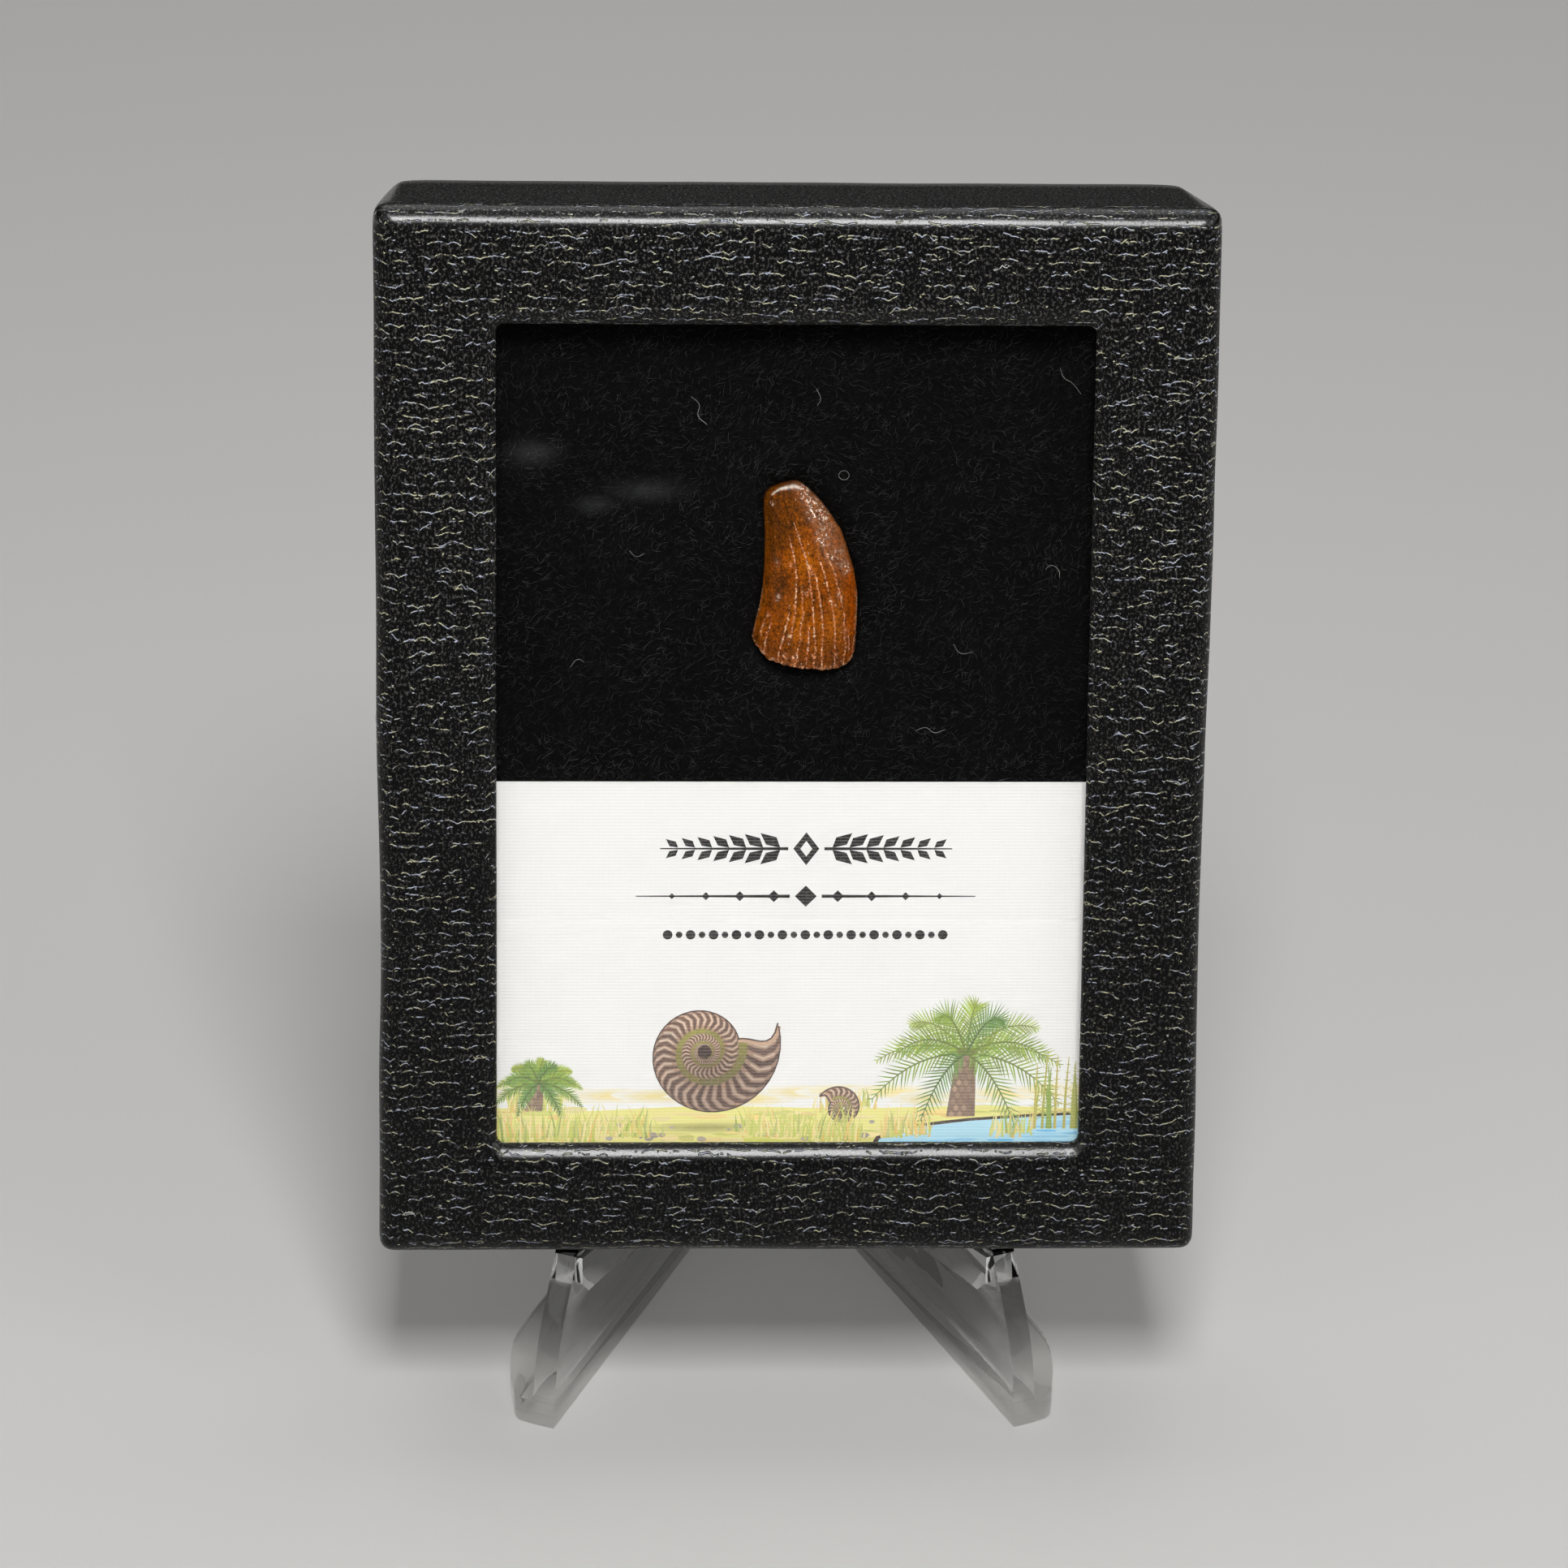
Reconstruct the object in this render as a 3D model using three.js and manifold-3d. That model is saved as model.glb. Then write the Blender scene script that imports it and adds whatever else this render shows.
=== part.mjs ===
// A fossil tooth shown in a small pinned display case that stands on a clear two-armed easel.
// Units are millimetres, +Z is up, and the window of the case faces -Y.
// The origin lies on the surface that the easel stands on, at the centre of the whole display.

import * as THREE from 'three';
import { mergeVertices } from 'three/addons/utils/BufferGeometryUtils.js';
import Module from 'manifold-3d';

const wasm = await Module();
wasm.setup();

// ---- driving dimensions -------------------------------------------------------------------

const FIT = 0.3; // clearance between neighbouring pieces

// Case. Its own frame has X across, Z up the face and Y from the front face to the back.
const CASE_WIDTH = 82.5;
const CASE_HEIGHT = 106.4;
const CASE_DEPTH = 20;
const CASE_LEAN = THREE.MathUtils.degToRad(13.6);
const CASE_FOOT_HEIGHT = 19.6; // bottom front edge above the ground
const WALL = 1.5; // wrapped board
const EDGE_ROUND = 1.8; // rounding of the lid's front edges
const CORNER_ROUND = 0.8; // rounding of the lid's four long corners
const WINDOW_WIDTH = 58.6;
const WINDOW_BOTTOM = 11.5;
const WINDOW_TOP = 94.7;
const GLASS_THICKNESS = 1.6;
const CARD_THICKNESS = 0.35;
const CARD_WIDTH = 64;
const CARD_BOTTOM = 5.5;
const CARD_TOP = 48.4;

// Pins through the side walls.
const PIN_HEIGHT = CASE_HEIGHT / 2;
const PIN_DEPTH = 10.5;
const PIN_LENGTH = 17;
const PIN_RADIUS = 0.35;
const PIN_HEAD_RADIUS = 0.8;
const PIN_HEAD_THICKNESS = 0.55;
const PIN_HOLE_RADIUS = PIN_RADIUS + FIT;

// Tooth: left edge, right edge and half thickness at heights up the case's face, base first.
const TOOTH_STATIONS = [
  { height: 59.75, left: 1.4, right: 4.4, half: 1.0 },
  { height: 60.35, left: -1.6, right: 5.9, half: 1.9 },
  { height: 61.8, left: -3.55, right: 6.3, half: 2.5 },
  { height: 64.2, left: -3.7, right: 6.5, half: 2.75 },
  { height: 67.4, left: -3.0, right: 6.5, half: 2.8 },
  { height: 71.5, left: -2.8, right: 5.5, half: 2.6 },
  { height: 75.1, left: -2.85, right: 3.75, half: 2.1 },
  { height: 77.4, left: -2.6, right: 2.1, half: 1.45 },
  { height: 78.4, left: -1.5, right: 1.2, half: 0.8 },
];
const TOOTH_TIP_HEIGHT = 78.75;
const TOOTH_RINGS = 30;
const TOOTH_SEGMENTS = 96;
const LENS_POWER = 1.25; // 1 is an oval section, and more is a lens with thinner edges
const WRINKLES = 7; // lengthwise ridges across each face
const WRINKLE_HEIGHT = 0.12;
const WRINKLE_START = 74.5; // the ridges rise below this height
const WRINKLE_FULL = 67;
const TOOTH_FRONT = 0.35; // deepest bulge of the tooth behind the glass
const POCKET_MARGIN = 0.6; // space in the pad around the tooth

// Easel. Each arm is drawn in its own plane: u runs back from the foot, h is the height.
const ARM_HALF_SPREAD = 23.55; // inner front corner of each foot from the middle
const ARM_ANGLE = THREE.MathUtils.degToRad(23); // turn of each arm away from straight back
const PLATE = 2.4;
const FLANGE_THICKNESS = 2.8;
const FLANGE_WIDTH = 9;
const FOOT_WIDTH = 4.6;
const SHELF_BAND = 1.7;
const UPRIGHT_BAND = 6;
const UPRIGHT_TOP = 70;
const SPINE_RADIUS = 2.8;
const SPINE_HEIGHT = 46;
const ARM_LENGTH = ARM_HALF_SPREAD / Math.sin(ARM_ANGLE);

// Front corners of the feet, and the middle of the display, behind the case's bottom front edge.
const FOOT_SETBACK = -1.76;
const SPINE_SETBACK = FOOT_SETBACK + ARM_HALF_SPREAD / Math.tan(ARM_ANGLE);
const MIDDLE_SETBACK = (FOOT_SETBACK + SPINE_SETBACK + SPINE_RADIUS) / 2;

// Layers of the case, as distances behind its front face.
const GLASS_FRONT = WALL + FIT;
const GLASS_BACK = GLASS_FRONT + GLASS_THICKNESS;
const CARD_FRONT = GLASS_BACK + FIT;
const PAD_FRONT = CARD_FRONT + CARD_THICKNESS + FIT;
const TRAY_FRONT = GLASS_BACK + FIT;
const TRAY_WIDTH = CASE_WIDTH - 2 * (WALL + FIT);
const TRAY_HEIGHT = CASE_HEIGHT - 2 * (WALL + FIT);
const PAD_WIDTH = TRAY_WIDTH - 2 * (WALL + FIT);
const PAD_HEIGHT = TRAY_HEIGHT - 2 * (WALL + FIT);
const PAD_BACK = CASE_DEPTH - WALL - FIT;

// ---- materials ----------------------------------------------------------------------------

const leatherette = new THREE.MeshStandardMaterial({ color: 0x151515, roughness: 0.55, metalness: 0 });
const board = new THREE.MeshStandardMaterial({ color: 0x1c1c1c, roughness: 0.85, metalness: 0 });
const glass = new THREE.MeshStandardMaterial({
  color: 0xf2f6f5, roughness: 0.03, metalness: 0, transparent: true, opacity: 0.15,
});
const felt = new THREE.MeshStandardMaterial({ color: 0x0b0b0c, roughness: 0.95, metalness: 0 });
const linenCard = new THREE.MeshStandardMaterial({ color: 0xf1efe9, roughness: 0.8, metalness: 0 });
const enamel = new THREE.MeshStandardMaterial({ color: 0xa05a26, roughness: 0.35, metalness: 0 });
const steel = new THREE.MeshStandardMaterial({ color: 0xc9c9c9, roughness: 0.25, metalness: 1 });
const clearPlastic = new THREE.MeshStandardMaterial({
  color: 0xf4f6f6, roughness: 0.06, metalness: 0, transparent: true, opacity: 0.3,
});

// ---- solids -------------------------------------------------------------------------------

/** Closed solid of a geometry, for joining and cutting. */
function solid(geometry) {
  const bare = geometry.clone();
  bare.deleteAttribute('normal');
  bare.deleteAttribute('uv');
  const merged = mergeVertices(bare, 1e-4);
  const vertProperties = new Float32Array(merged.attributes.position.array);
  const triVerts = new Uint32Array(merged.index.array);
  return new wasm.Manifold(new wasm.Mesh({ numProp: 3, vertProperties, triVerts }));
}

/** Geometry of a joined or cut solid. */
function surface(body) {
  const mesh = body.getMesh();
  const geometry = new THREE.BufferGeometry();
  geometry.setAttribute('position', new THREE.BufferAttribute(mesh.vertProperties, 3));
  geometry.setIndex(new THREE.BufferAttribute(mesh.triVerts, 1));
  geometry.computeVertexNormals();
  return geometry;
}

/** Block between two corners, in the order X, Y, Z. */
function block(low, high) {
  const size = high.map((value, axis) => value - low[axis]);
  const middle = high.map((value, axis) => (value + low[axis]) / 2);
  return new THREE.BoxGeometry(...size).translate(...middle);
}

/** Outline through corner points, listed anticlockwise. */
function outline(points) {
  return new THREE.Shape(points.map(([x, y]) => new THREE.Vector2(x, y)));
}

/** Rectangle about the middle of X, from bottom to top, with rounded corners. */
function roundedRectangle(width, bottom, top, radius) {
  const side = width / 2;
  const shape = new THREE.Shape();
  shape.moveTo(radius - side, bottom);
  shape.absarc(side - radius, bottom + radius, radius, -Math.PI / 2, 0);
  shape.absarc(side - radius, top - radius, radius, 0, Math.PI / 2);
  shape.absarc(radius - side, top - radius, radius, Math.PI / 2, Math.PI);
  shape.absarc(radius - side, bottom + radius, radius, Math.PI, Math.PI * 1.5);
  return shape;
}

// ---- case ---------------------------------------------------------------------------------

/** Rod through a side wall, from the outside inward, that leaves room for a pin. */
function pinBore(side) {
  const bore = new THREE.CylinderGeometry(PIN_HOLE_RADIUS, PIN_HOLE_RADIUS, PIN_LENGTH + 2, 12);
  const middle = CASE_WIDTH / 2 + 1 - (PIN_LENGTH + 2) / 2 + FIT;
  return bore.rotateZ(Math.PI / 2).translate(side * middle, PIN_DEPTH, PIN_HEIGHT);
}

/** Cuts both pin bores out of a body. */
function withPinBores(body) {
  return body.subtract(solid(pinBore(-1))).subtract(solid(pinBore(1)));
}

/** Lid: window frame and four walls in one folded sheet, open at the back. */
function lidGeometry() {
  const inset = EDGE_ROUND;
  const shape = roundedRectangle(CASE_WIDTH - 2 * inset, inset, CASE_HEIGHT - inset, CORNER_ROUND);
  const shell = new THREE.ExtrudeGeometry(shape, {
    depth: CASE_DEPTH, bevelThickness: EDGE_ROUND, bevelSize: EDGE_ROUND, bevelSegments: 3, curveSegments: 3,
  });
  shell.rotateX(Math.PI / 2).translate(0, CASE_DEPTH + EDGE_ROUND, 0);
  const side = CASE_WIDTH / 2;
  const past = CASE_DEPTH + 2 * EDGE_ROUND + 1;
  const behind = block([-side - 1, CASE_DEPTH, -1], [side + 1, past, CASE_HEIGHT + 1]);
  const hollow = block([WALL - side, WALL, WALL], [side - WALL, CASE_DEPTH + 1, CASE_HEIGHT - WALL]);
  const view = block([-WINDOW_WIDTH / 2, -1, WINDOW_BOTTOM], [WINDOW_WIDTH / 2, WALL + 1, WINDOW_TOP]);
  const body = solid(shell).subtract(solid(behind)).subtract(solid(hollow)).subtract(solid(view));
  return surface(withPinBores(body));
}

/** Pane that fills the lid behind its window frame. */
function glassGeometry() {
  const side = TRAY_WIDTH / 2;
  const edge = WALL + FIT;
  return block([-side, GLASS_FRONT, edge], [side, GLASS_BACK, CASE_HEIGHT - edge]);
}

/** Tray that slides into the lid from behind. */
function trayGeometry() {
  const side = TRAY_WIDTH / 2;
  const edge = WALL + FIT;
  const shell = block([-side, TRAY_FRONT, edge], [side, CASE_DEPTH, CASE_HEIGHT - edge]);
  const hollow = block(
    [WALL - side, TRAY_FRONT - 1, edge + WALL],
    [side - WALL, CASE_DEPTH - WALL, CASE_HEIGHT - edge - WALL],
  );
  return surface(withPinBores(solid(shell).subtract(solid(hollow))));
}

/** Card that lies behind the glass, over the lower half of the pad. */
function cardGeometry() {
  const side = CARD_WIDTH / 2;
  return block([-side, CARD_FRONT, CARD_BOTTOM], [side, CARD_FRONT + CARD_THICKNESS, CARD_TOP]);
}

/** Pin with a flat head, driven inward through one side wall. */
function pinGeometry(side) {
  const profile = [
    [0, PIN_HEAD_THICKNESS],
    [PIN_HEAD_RADIUS * 0.7, PIN_HEAD_THICKNESS],
    [PIN_HEAD_RADIUS, PIN_HEAD_THICKNESS * 0.5],
    [PIN_HEAD_RADIUS, 0],
    [PIN_RADIUS, 0],
    [PIN_RADIUS, -PIN_LENGTH + 2],
    [0, -PIN_LENGTH],
  ];
  const pin = new THREE.LatheGeometry(profile.reverse().map(([r, y]) => new THREE.Vector2(r, y)), 12);
  pin.rotateZ(-side * Math.PI / 2);
  return pin.translate(side * (CASE_WIDTH / 2 + FIT), PIN_DEPTH, PIN_HEIGHT);
}

// ---- tooth --------------------------------------------------------------------------------

/** Smooth curve through one measure of the tooth's stations, as a function of its height. */
function toothMeasure(key) {
  const curve = new THREE.SplineCurve(
    TOOTH_STATIONS.map((station) => new THREE.Vector2(station.height, station[key])),
  );
  const samples = curve.getPoints(200);
  return (height) => {
    const next = samples.findIndex((sample) => sample.x >= height);
    const high = samples[next < 0 ? samples.length - 1 : Math.max(next, 1)];
    const low = samples[next < 0 ? samples.length - 2 : Math.max(next, 1) - 1];
    const share = THREE.MathUtils.clamp((height - low.x) / (high.x - low.x), 0, 1);
    return THREE.MathUtils.lerp(low.y, high.y, share);
  };
}

/** Lift of the lengthwise ridges at a share of the width, from -1 to 1, and a height. */
function wrinkle(across, height) {
  const fade = THREE.MathUtils.smoothstep(WRINKLE_START - height, 0, WRINKLE_START - WRINKLE_FULL);
  return WRINKLE_HEIGHT * fade * Math.cos(Math.PI * WRINKLES * across) * (1 - across ** 2);
}

/** Tooth: a ball drawn out along Z whose rings follow the outline and the thickness. */
function toothGeometry() {
  const left = toothMeasure('left');
  const right = toothMeasure('right');
  const half = toothMeasure('half');
  const bottom = TOOTH_STATIONS[0].height;
  const thickest = Math.max(...TOOTH_STATIONS.map((station) => station.half));
  const depth = GLASS_BACK + TOOTH_FRONT + thickest;
  const geometry = new THREE.SphereGeometry(1, TOOTH_SEGMENTS, TOOTH_RINGS).rotateX(Math.PI / 2);
  const position = geometry.attributes.position;
  for (let i = 0; i < position.count; i += 1) {
    const ring = Math.hypot(position.getX(i), position.getY(i));
    const share = (position.getZ(i) + 1) / 2;
    const height = THREE.MathUtils.lerp(bottom, TOOTH_TIP_HEIGHT, share);
    const level = THREE.MathUtils.clamp(height, bottom, TOOTH_STATIONS.at(-1).height);
    const pole = ring < 1e-6;
    const across = pole ? 0 : position.getX(i) / ring;
    const turn = pole ? 0 : position.getY(i) / ring;
    const bulge = Math.sign(turn) * Math.abs(turn) ** LENS_POWER;
    const middle = (left(level) + right(level)) / 2;
    const reach = (right(level) - left(level)) / 2;
    const lift = pole ? 0 : Math.sign(turn) * wrinkle(across, height);
    position.setXYZ(i, middle + across * reach, depth + bulge * half(level) + lift, height);
  }
  geometry.computeVertexNormals();
  return geometry;
}

/** Pocket in the pad that the tooth lies in. */
function pocketGeometry() {
  const grown = TOOTH_STATIONS.slice(1, -1);
  const base = TOOTH_STATIONS[0].height - POCKET_MARGIN;
  const tip = TOOTH_TIP_HEIGHT + POCKET_MARGIN;
  const up = grown.map((station) => [station.right + POCKET_MARGIN, station.height]);
  const down = grown.toReversed().map((station) => [station.left - POCKET_MARGIN, station.height]);
  const shape = outline([[-1.6, base], [6.2, base], ...up, [1.4, tip], [-1.8, tip], ...down]);
  const thickest = Math.max(...TOOTH_STATIONS.map((station) => station.half));
  const floor = GLASS_BACK + TOOTH_FRONT + 2 * thickest + FIT;
  const prism = new THREE.ExtrudeGeometry(shape, { depth: floor, bevelEnabled: false });
  return prism.rotateX(Math.PI / 2).translate(0, floor, 0);
}

/** Fibre pad that fills the tray and carries the tooth in a pocket. */
function padGeometry() {
  const side = PAD_WIDTH / 2;
  const edge = 2 * (WALL + FIT);
  const body = solid(block([-side, PAD_FRONT, edge], [side, PAD_BACK, CASE_HEIGHT - edge]));
  return surface(withPinBores(body.subtract(solid(pocketGeometry()))));
}

// ---- easel --------------------------------------------------------------------------------

/** Height of the shelf edge at a distance along the arm, just below the case's bottom. */
function shelfHeight(u) {
  const setback = FOOT_SETBACK + u * Math.cos(ARM_ANGLE) + PLATE * Math.sin(ARM_ANGLE);
  return CASE_FOOT_HEIGHT - FIT / Math.cos(CASE_LEAN) - setback * Math.tan(CASE_LEAN);
}

/** Distance along the arm of the upright's front edge at a height, just behind the case's back. */
function uprightEdge(h) {
  const rise = (h - CASE_FOOT_HEIGHT) * Math.tan(CASE_LEAN);
  const setback = (CASE_DEPTH + FIT) / Math.cos(CASE_LEAN) + rise;
  return (setback - FOOT_SETBACK) / Math.cos(ARM_ANGLE);
}

/** Slot under the shelf, with a chamfered lower front corner. */
function shelfSlot() {
  const under = (u) => shelfHeight(u) - SHELF_BAND;
  return new THREE.Path().setFromPoints(
    [[7.5, 13], [9.2, 11.3], [13.5, 10.6], [21.8, 9], [21.8, under(21.8)], [7.5, under(7.5)]]
      .map(([u, h]) => new THREE.Vector2(u, h)),
  );
}

/** Tall opening between the upright and the spine. */
function rearOpening() {
  const front = (h) => uprightEdge(h) + UPRIGHT_BAND;
  return new THREE.Path().setFromPoints(
    [[front(11), 11], [front(11) + 2, 9], [49, 9], [51, 11], [51, 37], [front(54) + 2, 54], [front(52), 52]]
      .map(([u, h]) => new THREE.Vector2(u, h)),
  );
}

/** Side plate of an arm in its own plane, with the curved front post, shelf and upright. */
function plateShape() {
  const shape = new THREE.Shape();
  const shelfBack = 23.2;
  shape.moveTo(0, 0);
  shape.lineTo(0.2, 2.4);
  shape.quadraticCurveTo(0.75, 8, 3.1, 12);
  shape.lineTo(6.1, 17.3);
  shape.quadraticCurveTo(6.5, shelfHeight(6.5), 7.3, shelfHeight(7.3));
  shape.lineTo(shelfBack, shelfHeight(shelfBack));
  shape.lineTo(uprightEdge(17), 17);
  shape.lineTo(uprightEdge(UPRIGHT_TOP - 1.5), UPRIGHT_TOP - 1.5);
  shape.quadraticCurveTo(uprightEdge(UPRIGHT_TOP), UPRIGHT_TOP, uprightEdge(UPRIGHT_TOP) + 1.8, UPRIGHT_TOP);
  shape.quadraticCurveTo(47, UPRIGHT_TOP, 50, 60);
  shape.quadraticCurveTo(53, 49, ARM_LENGTH, SPINE_HEIGHT);
  shape.lineTo(ARM_LENGTH, 0);
  shape.holes.push(shelfSlot(), rearOpening());
  return shape;
}

/** Foot flange of an arm seen from above: narrow rounded toe, then the full width. */
function flangeShape(side) {
  const out = (width) => -side * width;
  const shape = new THREE.Shape();
  const end = ARM_LENGTH - 2;
  shape.moveTo(0, 0);
  shape.lineTo(0.1, out(FOOT_WIDTH - 1.2));
  shape.quadraticCurveTo(0.3, out(FOOT_WIDTH), 1.6, out(FOOT_WIDTH + 0.5));
  shape.quadraticCurveTo(7.5, out(FLANGE_WIDTH - 0.3), 12, out(FLANGE_WIDTH - 0.1));
  shape.lineTo(16, out(FLANGE_WIDTH));
  shape.lineTo(end - 8, out(FLANGE_WIDTH));
  shape.quadraticCurveTo(end, out(FLANGE_WIDTH), end, out(1));
  shape.lineTo(ARM_LENGTH, 0);
  return shape;
}

/** One arm, set at its splay: an upright plate with an outward flange. */
function armSolid(side) {
  const plate = new THREE.ExtrudeGeometry(plateShape(), { depth: PLATE, bevelEnabled: false, curveSegments: 8 });
  plate.rotateX(Math.PI / 2).translate(0, side < 0 ? PLATE : 0, 0);
  const flange = new THREE.ExtrudeGeometry(flangeShape(side), {
    depth: FLANGE_THICKNESS, bevelEnabled: false, curveSegments: 8,
  });
  const turn = Math.PI / 2 + side * ARM_ANGLE;
  const place = (geometry) => geometry
    .rotateZ(turn)
    .translate(side * ARM_HALF_SPREAD, FOOT_SETBACK - MIDDLE_SETBACK, 0);
  return solid(place(plate)).add(solid(place(flange)));
}

/** Easel moulded in one piece: both arms and the rounded spine where they meet. */
function easelGeometry() {
  const spine = new THREE.CylinderGeometry(SPINE_RADIUS, SPINE_RADIUS, SPINE_HEIGHT, 24);
  spine.rotateX(Math.PI / 2).translate(0, SPINE_SETBACK - MIDDLE_SETBACK, SPINE_HEIGHT / 2);
  return surface(armSolid(-1).add(armSolid(1)).add(solid(spine)));
}

// ---- assembly -----------------------------------------------------------------------------

/** Named piece of the display. */
function piece(name, geometry, material) {
  const mesh = new THREE.Mesh(geometry, material);
  mesh.name = name;
  return mesh;
}

const displayCase = new THREE.Group();
displayCase.add(
  piece('case_lid', lidGeometry(), leatherette),
  piece('glass_pane', glassGeometry(), glass),
  piece('case_tray', trayGeometry(), board),
  piece('fibre_pad', padGeometry(), felt),
  piece('label_card', cardGeometry(), linenCard),
  piece('tooth', toothGeometry(), enamel),
  piece('pin_left', pinGeometry(-1), steel),
  piece('pin_right', pinGeometry(1), steel),
);
displayCase.rotation.x = -CASE_LEAN;
displayCase.position.set(0, -MIDDLE_SETBACK, CASE_FOOT_HEIGHT);

const display = new THREE.Group();
display.add(displayCase, piece('easel', easelGeometry(), clearPlastic));

export default display;
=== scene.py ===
"""Looks for a fossil tooth in a pinned display case that stands on a clear easel.

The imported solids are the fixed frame, in metres. The case and what lies in it are modelled in the case's own
millimetres: x across, y from the front face to the back, z up the face. Each finished mesh is then set down
on the easel's lean, in the frame's metres.
"""

import logging
import math
import random
from dataclasses import dataclass
from enum import Enum
from functools import reduce
from typing import Callable, Iterable, Sequence

import bmesh
import bpy
import numpy as np
from mathutils import Matrix, Vector, noise
from mathutils.geometry import delaunay_2d_cdt


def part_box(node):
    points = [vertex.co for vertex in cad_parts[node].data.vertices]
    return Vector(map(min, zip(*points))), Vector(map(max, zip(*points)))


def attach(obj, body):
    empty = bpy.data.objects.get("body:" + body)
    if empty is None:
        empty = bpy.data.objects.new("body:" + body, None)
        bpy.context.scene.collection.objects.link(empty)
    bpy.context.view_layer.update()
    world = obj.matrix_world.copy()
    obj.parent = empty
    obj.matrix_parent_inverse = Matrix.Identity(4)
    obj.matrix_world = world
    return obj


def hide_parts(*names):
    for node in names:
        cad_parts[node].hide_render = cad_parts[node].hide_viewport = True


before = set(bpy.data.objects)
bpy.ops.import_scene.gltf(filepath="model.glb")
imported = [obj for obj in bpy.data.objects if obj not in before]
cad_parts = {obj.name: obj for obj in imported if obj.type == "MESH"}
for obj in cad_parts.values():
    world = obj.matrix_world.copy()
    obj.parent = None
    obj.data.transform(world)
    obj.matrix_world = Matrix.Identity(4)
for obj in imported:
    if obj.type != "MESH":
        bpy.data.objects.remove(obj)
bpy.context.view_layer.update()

log = logging.getLogger("fossil_case")

MM = 0.001
BODY = "root"
CREASE_ANGLE = math.radians(32)

Colour = Triple = tuple[float, float, float]
Point = tuple[float, float]
Shape = bmesh.types.BMesh
Mesh = bpy.types.Mesh
Piece = bpy.types.Object
Material = bpy.types.Material
Patch = tuple[Point, Point, float]
Socket = bpy.types.NodeSocket
Input = float | Sequence[float] | Socket
Inputs = dict[str | int, Input]


class Slot(Enum):
    """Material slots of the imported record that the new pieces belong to."""

    ENAMEL = "fossil_enamel"
    LEATHERETTE = "leatherette"
    BOARD = "tray_board"
    FELT = "felt"
    CARD = "linen_card"
    STEEL = "steel"
    CLEAR = "clear_plastic"


class Side(Enum):
    """Side of the case, as the sign of x."""

    LEFT = -1
    RIGHT = 1


# ---- small tools ----------------------------------------------------------------------------------------


def clamp(value: float) -> float:
    """Value held between 0 and 1."""
    return min(max(value, 0.0), 1.0)


def smooth(value: float, low: float, high: float) -> float:
    """Smooth step of a value, from 0 at low to 1 at high, or turned round where low is above high."""
    share = clamp((value - low) / (high - low))
    return share * share * (3 - 2 * share)


def blend(first: Colour, second: Colour, share: float) -> Colour:
    """Colour between two others, at a share of the way from the first to the second."""
    return tuple(a + (b - a) * share for a, b in zip(first, second))


def wander(x: float, y: float, scale: float, seed: float = 0.0) -> float:
    """Smooth noise on a plane, from -1 to 1, at so many waves a unit and in its own slice for each seed."""
    return noise.noise(Vector((x * scale, y * scale, seed)))


def patchwork(x: float, z: float, patches: Sequence[Patch]) -> float:
    """Summed strength at a place of soft oval patches.

    Args:
        x: Place across.
        z: Place up.
        patches: Middle, reach across and up, and strength in the middle, of each patch.

    Returns:
        The strength.
    """
    total = 0.0
    for at, reach, full in patches:
        total += full * math.exp(-(((x - at[0]) / reach[0]) ** 2 + ((z - at[1]) / reach[1]) ** 2))
    return total


def is_inside(places: np.ndarray, outline: np.ndarray) -> np.ndarray:
    """Whether places lie inside a closed outline, which may cross itself.

    Args:
        places: Places on a plane, one a row.
        outline: Corners of the outline, one a row.

    Returns:
        True or False for each place.
    """
    start, end = outline[None], np.roll(outline, -1, axis=0)[None]
    along, x, y = end - start, places[:, None, 0], places[:, None, 1]
    side = along[..., 0] * (y - start[..., 1]) - along[..., 1] * (x - start[..., 0])
    rising = (start[..., 1] <= y) & (end[..., 1] > y) & (side > 0)
    falling = (start[..., 1] > y) & (end[..., 1] <= y) & (side < 0)
    return rising.sum(1) != falling.sum(1)


def distance_to(places: np.ndarray, start: np.ndarray, end: np.ndarray) -> np.ndarray:
    """Distance from places to the nearest of some straight stretches.

    Args:
        places: Places on a plane, one a row.
        start: Start of each stretch, one a row.
        end: End of each stretch.

    Returns:
        The distance for each place.
    """
    off, along = places[:, None] - start[None], (end - start)[None]
    share = np.clip((off * along).sum(-1) / np.maximum((along ** 2).sum(-1), 1e-9), 0, 1)
    return np.linalg.norm(off - share[..., None] * along, axis=-1).min(1)


@dataclass(frozen=True)
class CasePlace:
    """Where the leaning case stands in the frame, worked out from its pane."""

    lean: float = math.radians(13.6)
    pane_edge: float = 1.8
    pane_front: float = 1.8
    pane_back: float = 3.4

    def foot(self) -> Vector:
        """Middle of the case's bottom front edge, in metres.

        Returns:
            The place.
        """
        low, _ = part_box("glass_pane")
        sine, cosine = math.sin(self.lean), math.cos(self.lean)
        back = (self.pane_edge * sine + self.pane_front * cosine) * MM
        rise = (self.pane_edge * cosine - self.pane_back * sine) * MM
        return Vector((0.0, low.y - back, low.z - rise))

    def matrix(self) -> Matrix:
        """Turn of case millimetres into frame metres."""
        return Matrix.Translation(self.foot()) @ Matrix.Rotation(-self.lean, 4, "X") @ Matrix.Scale(MM, 4)


PLACE = CasePlace()


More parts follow.
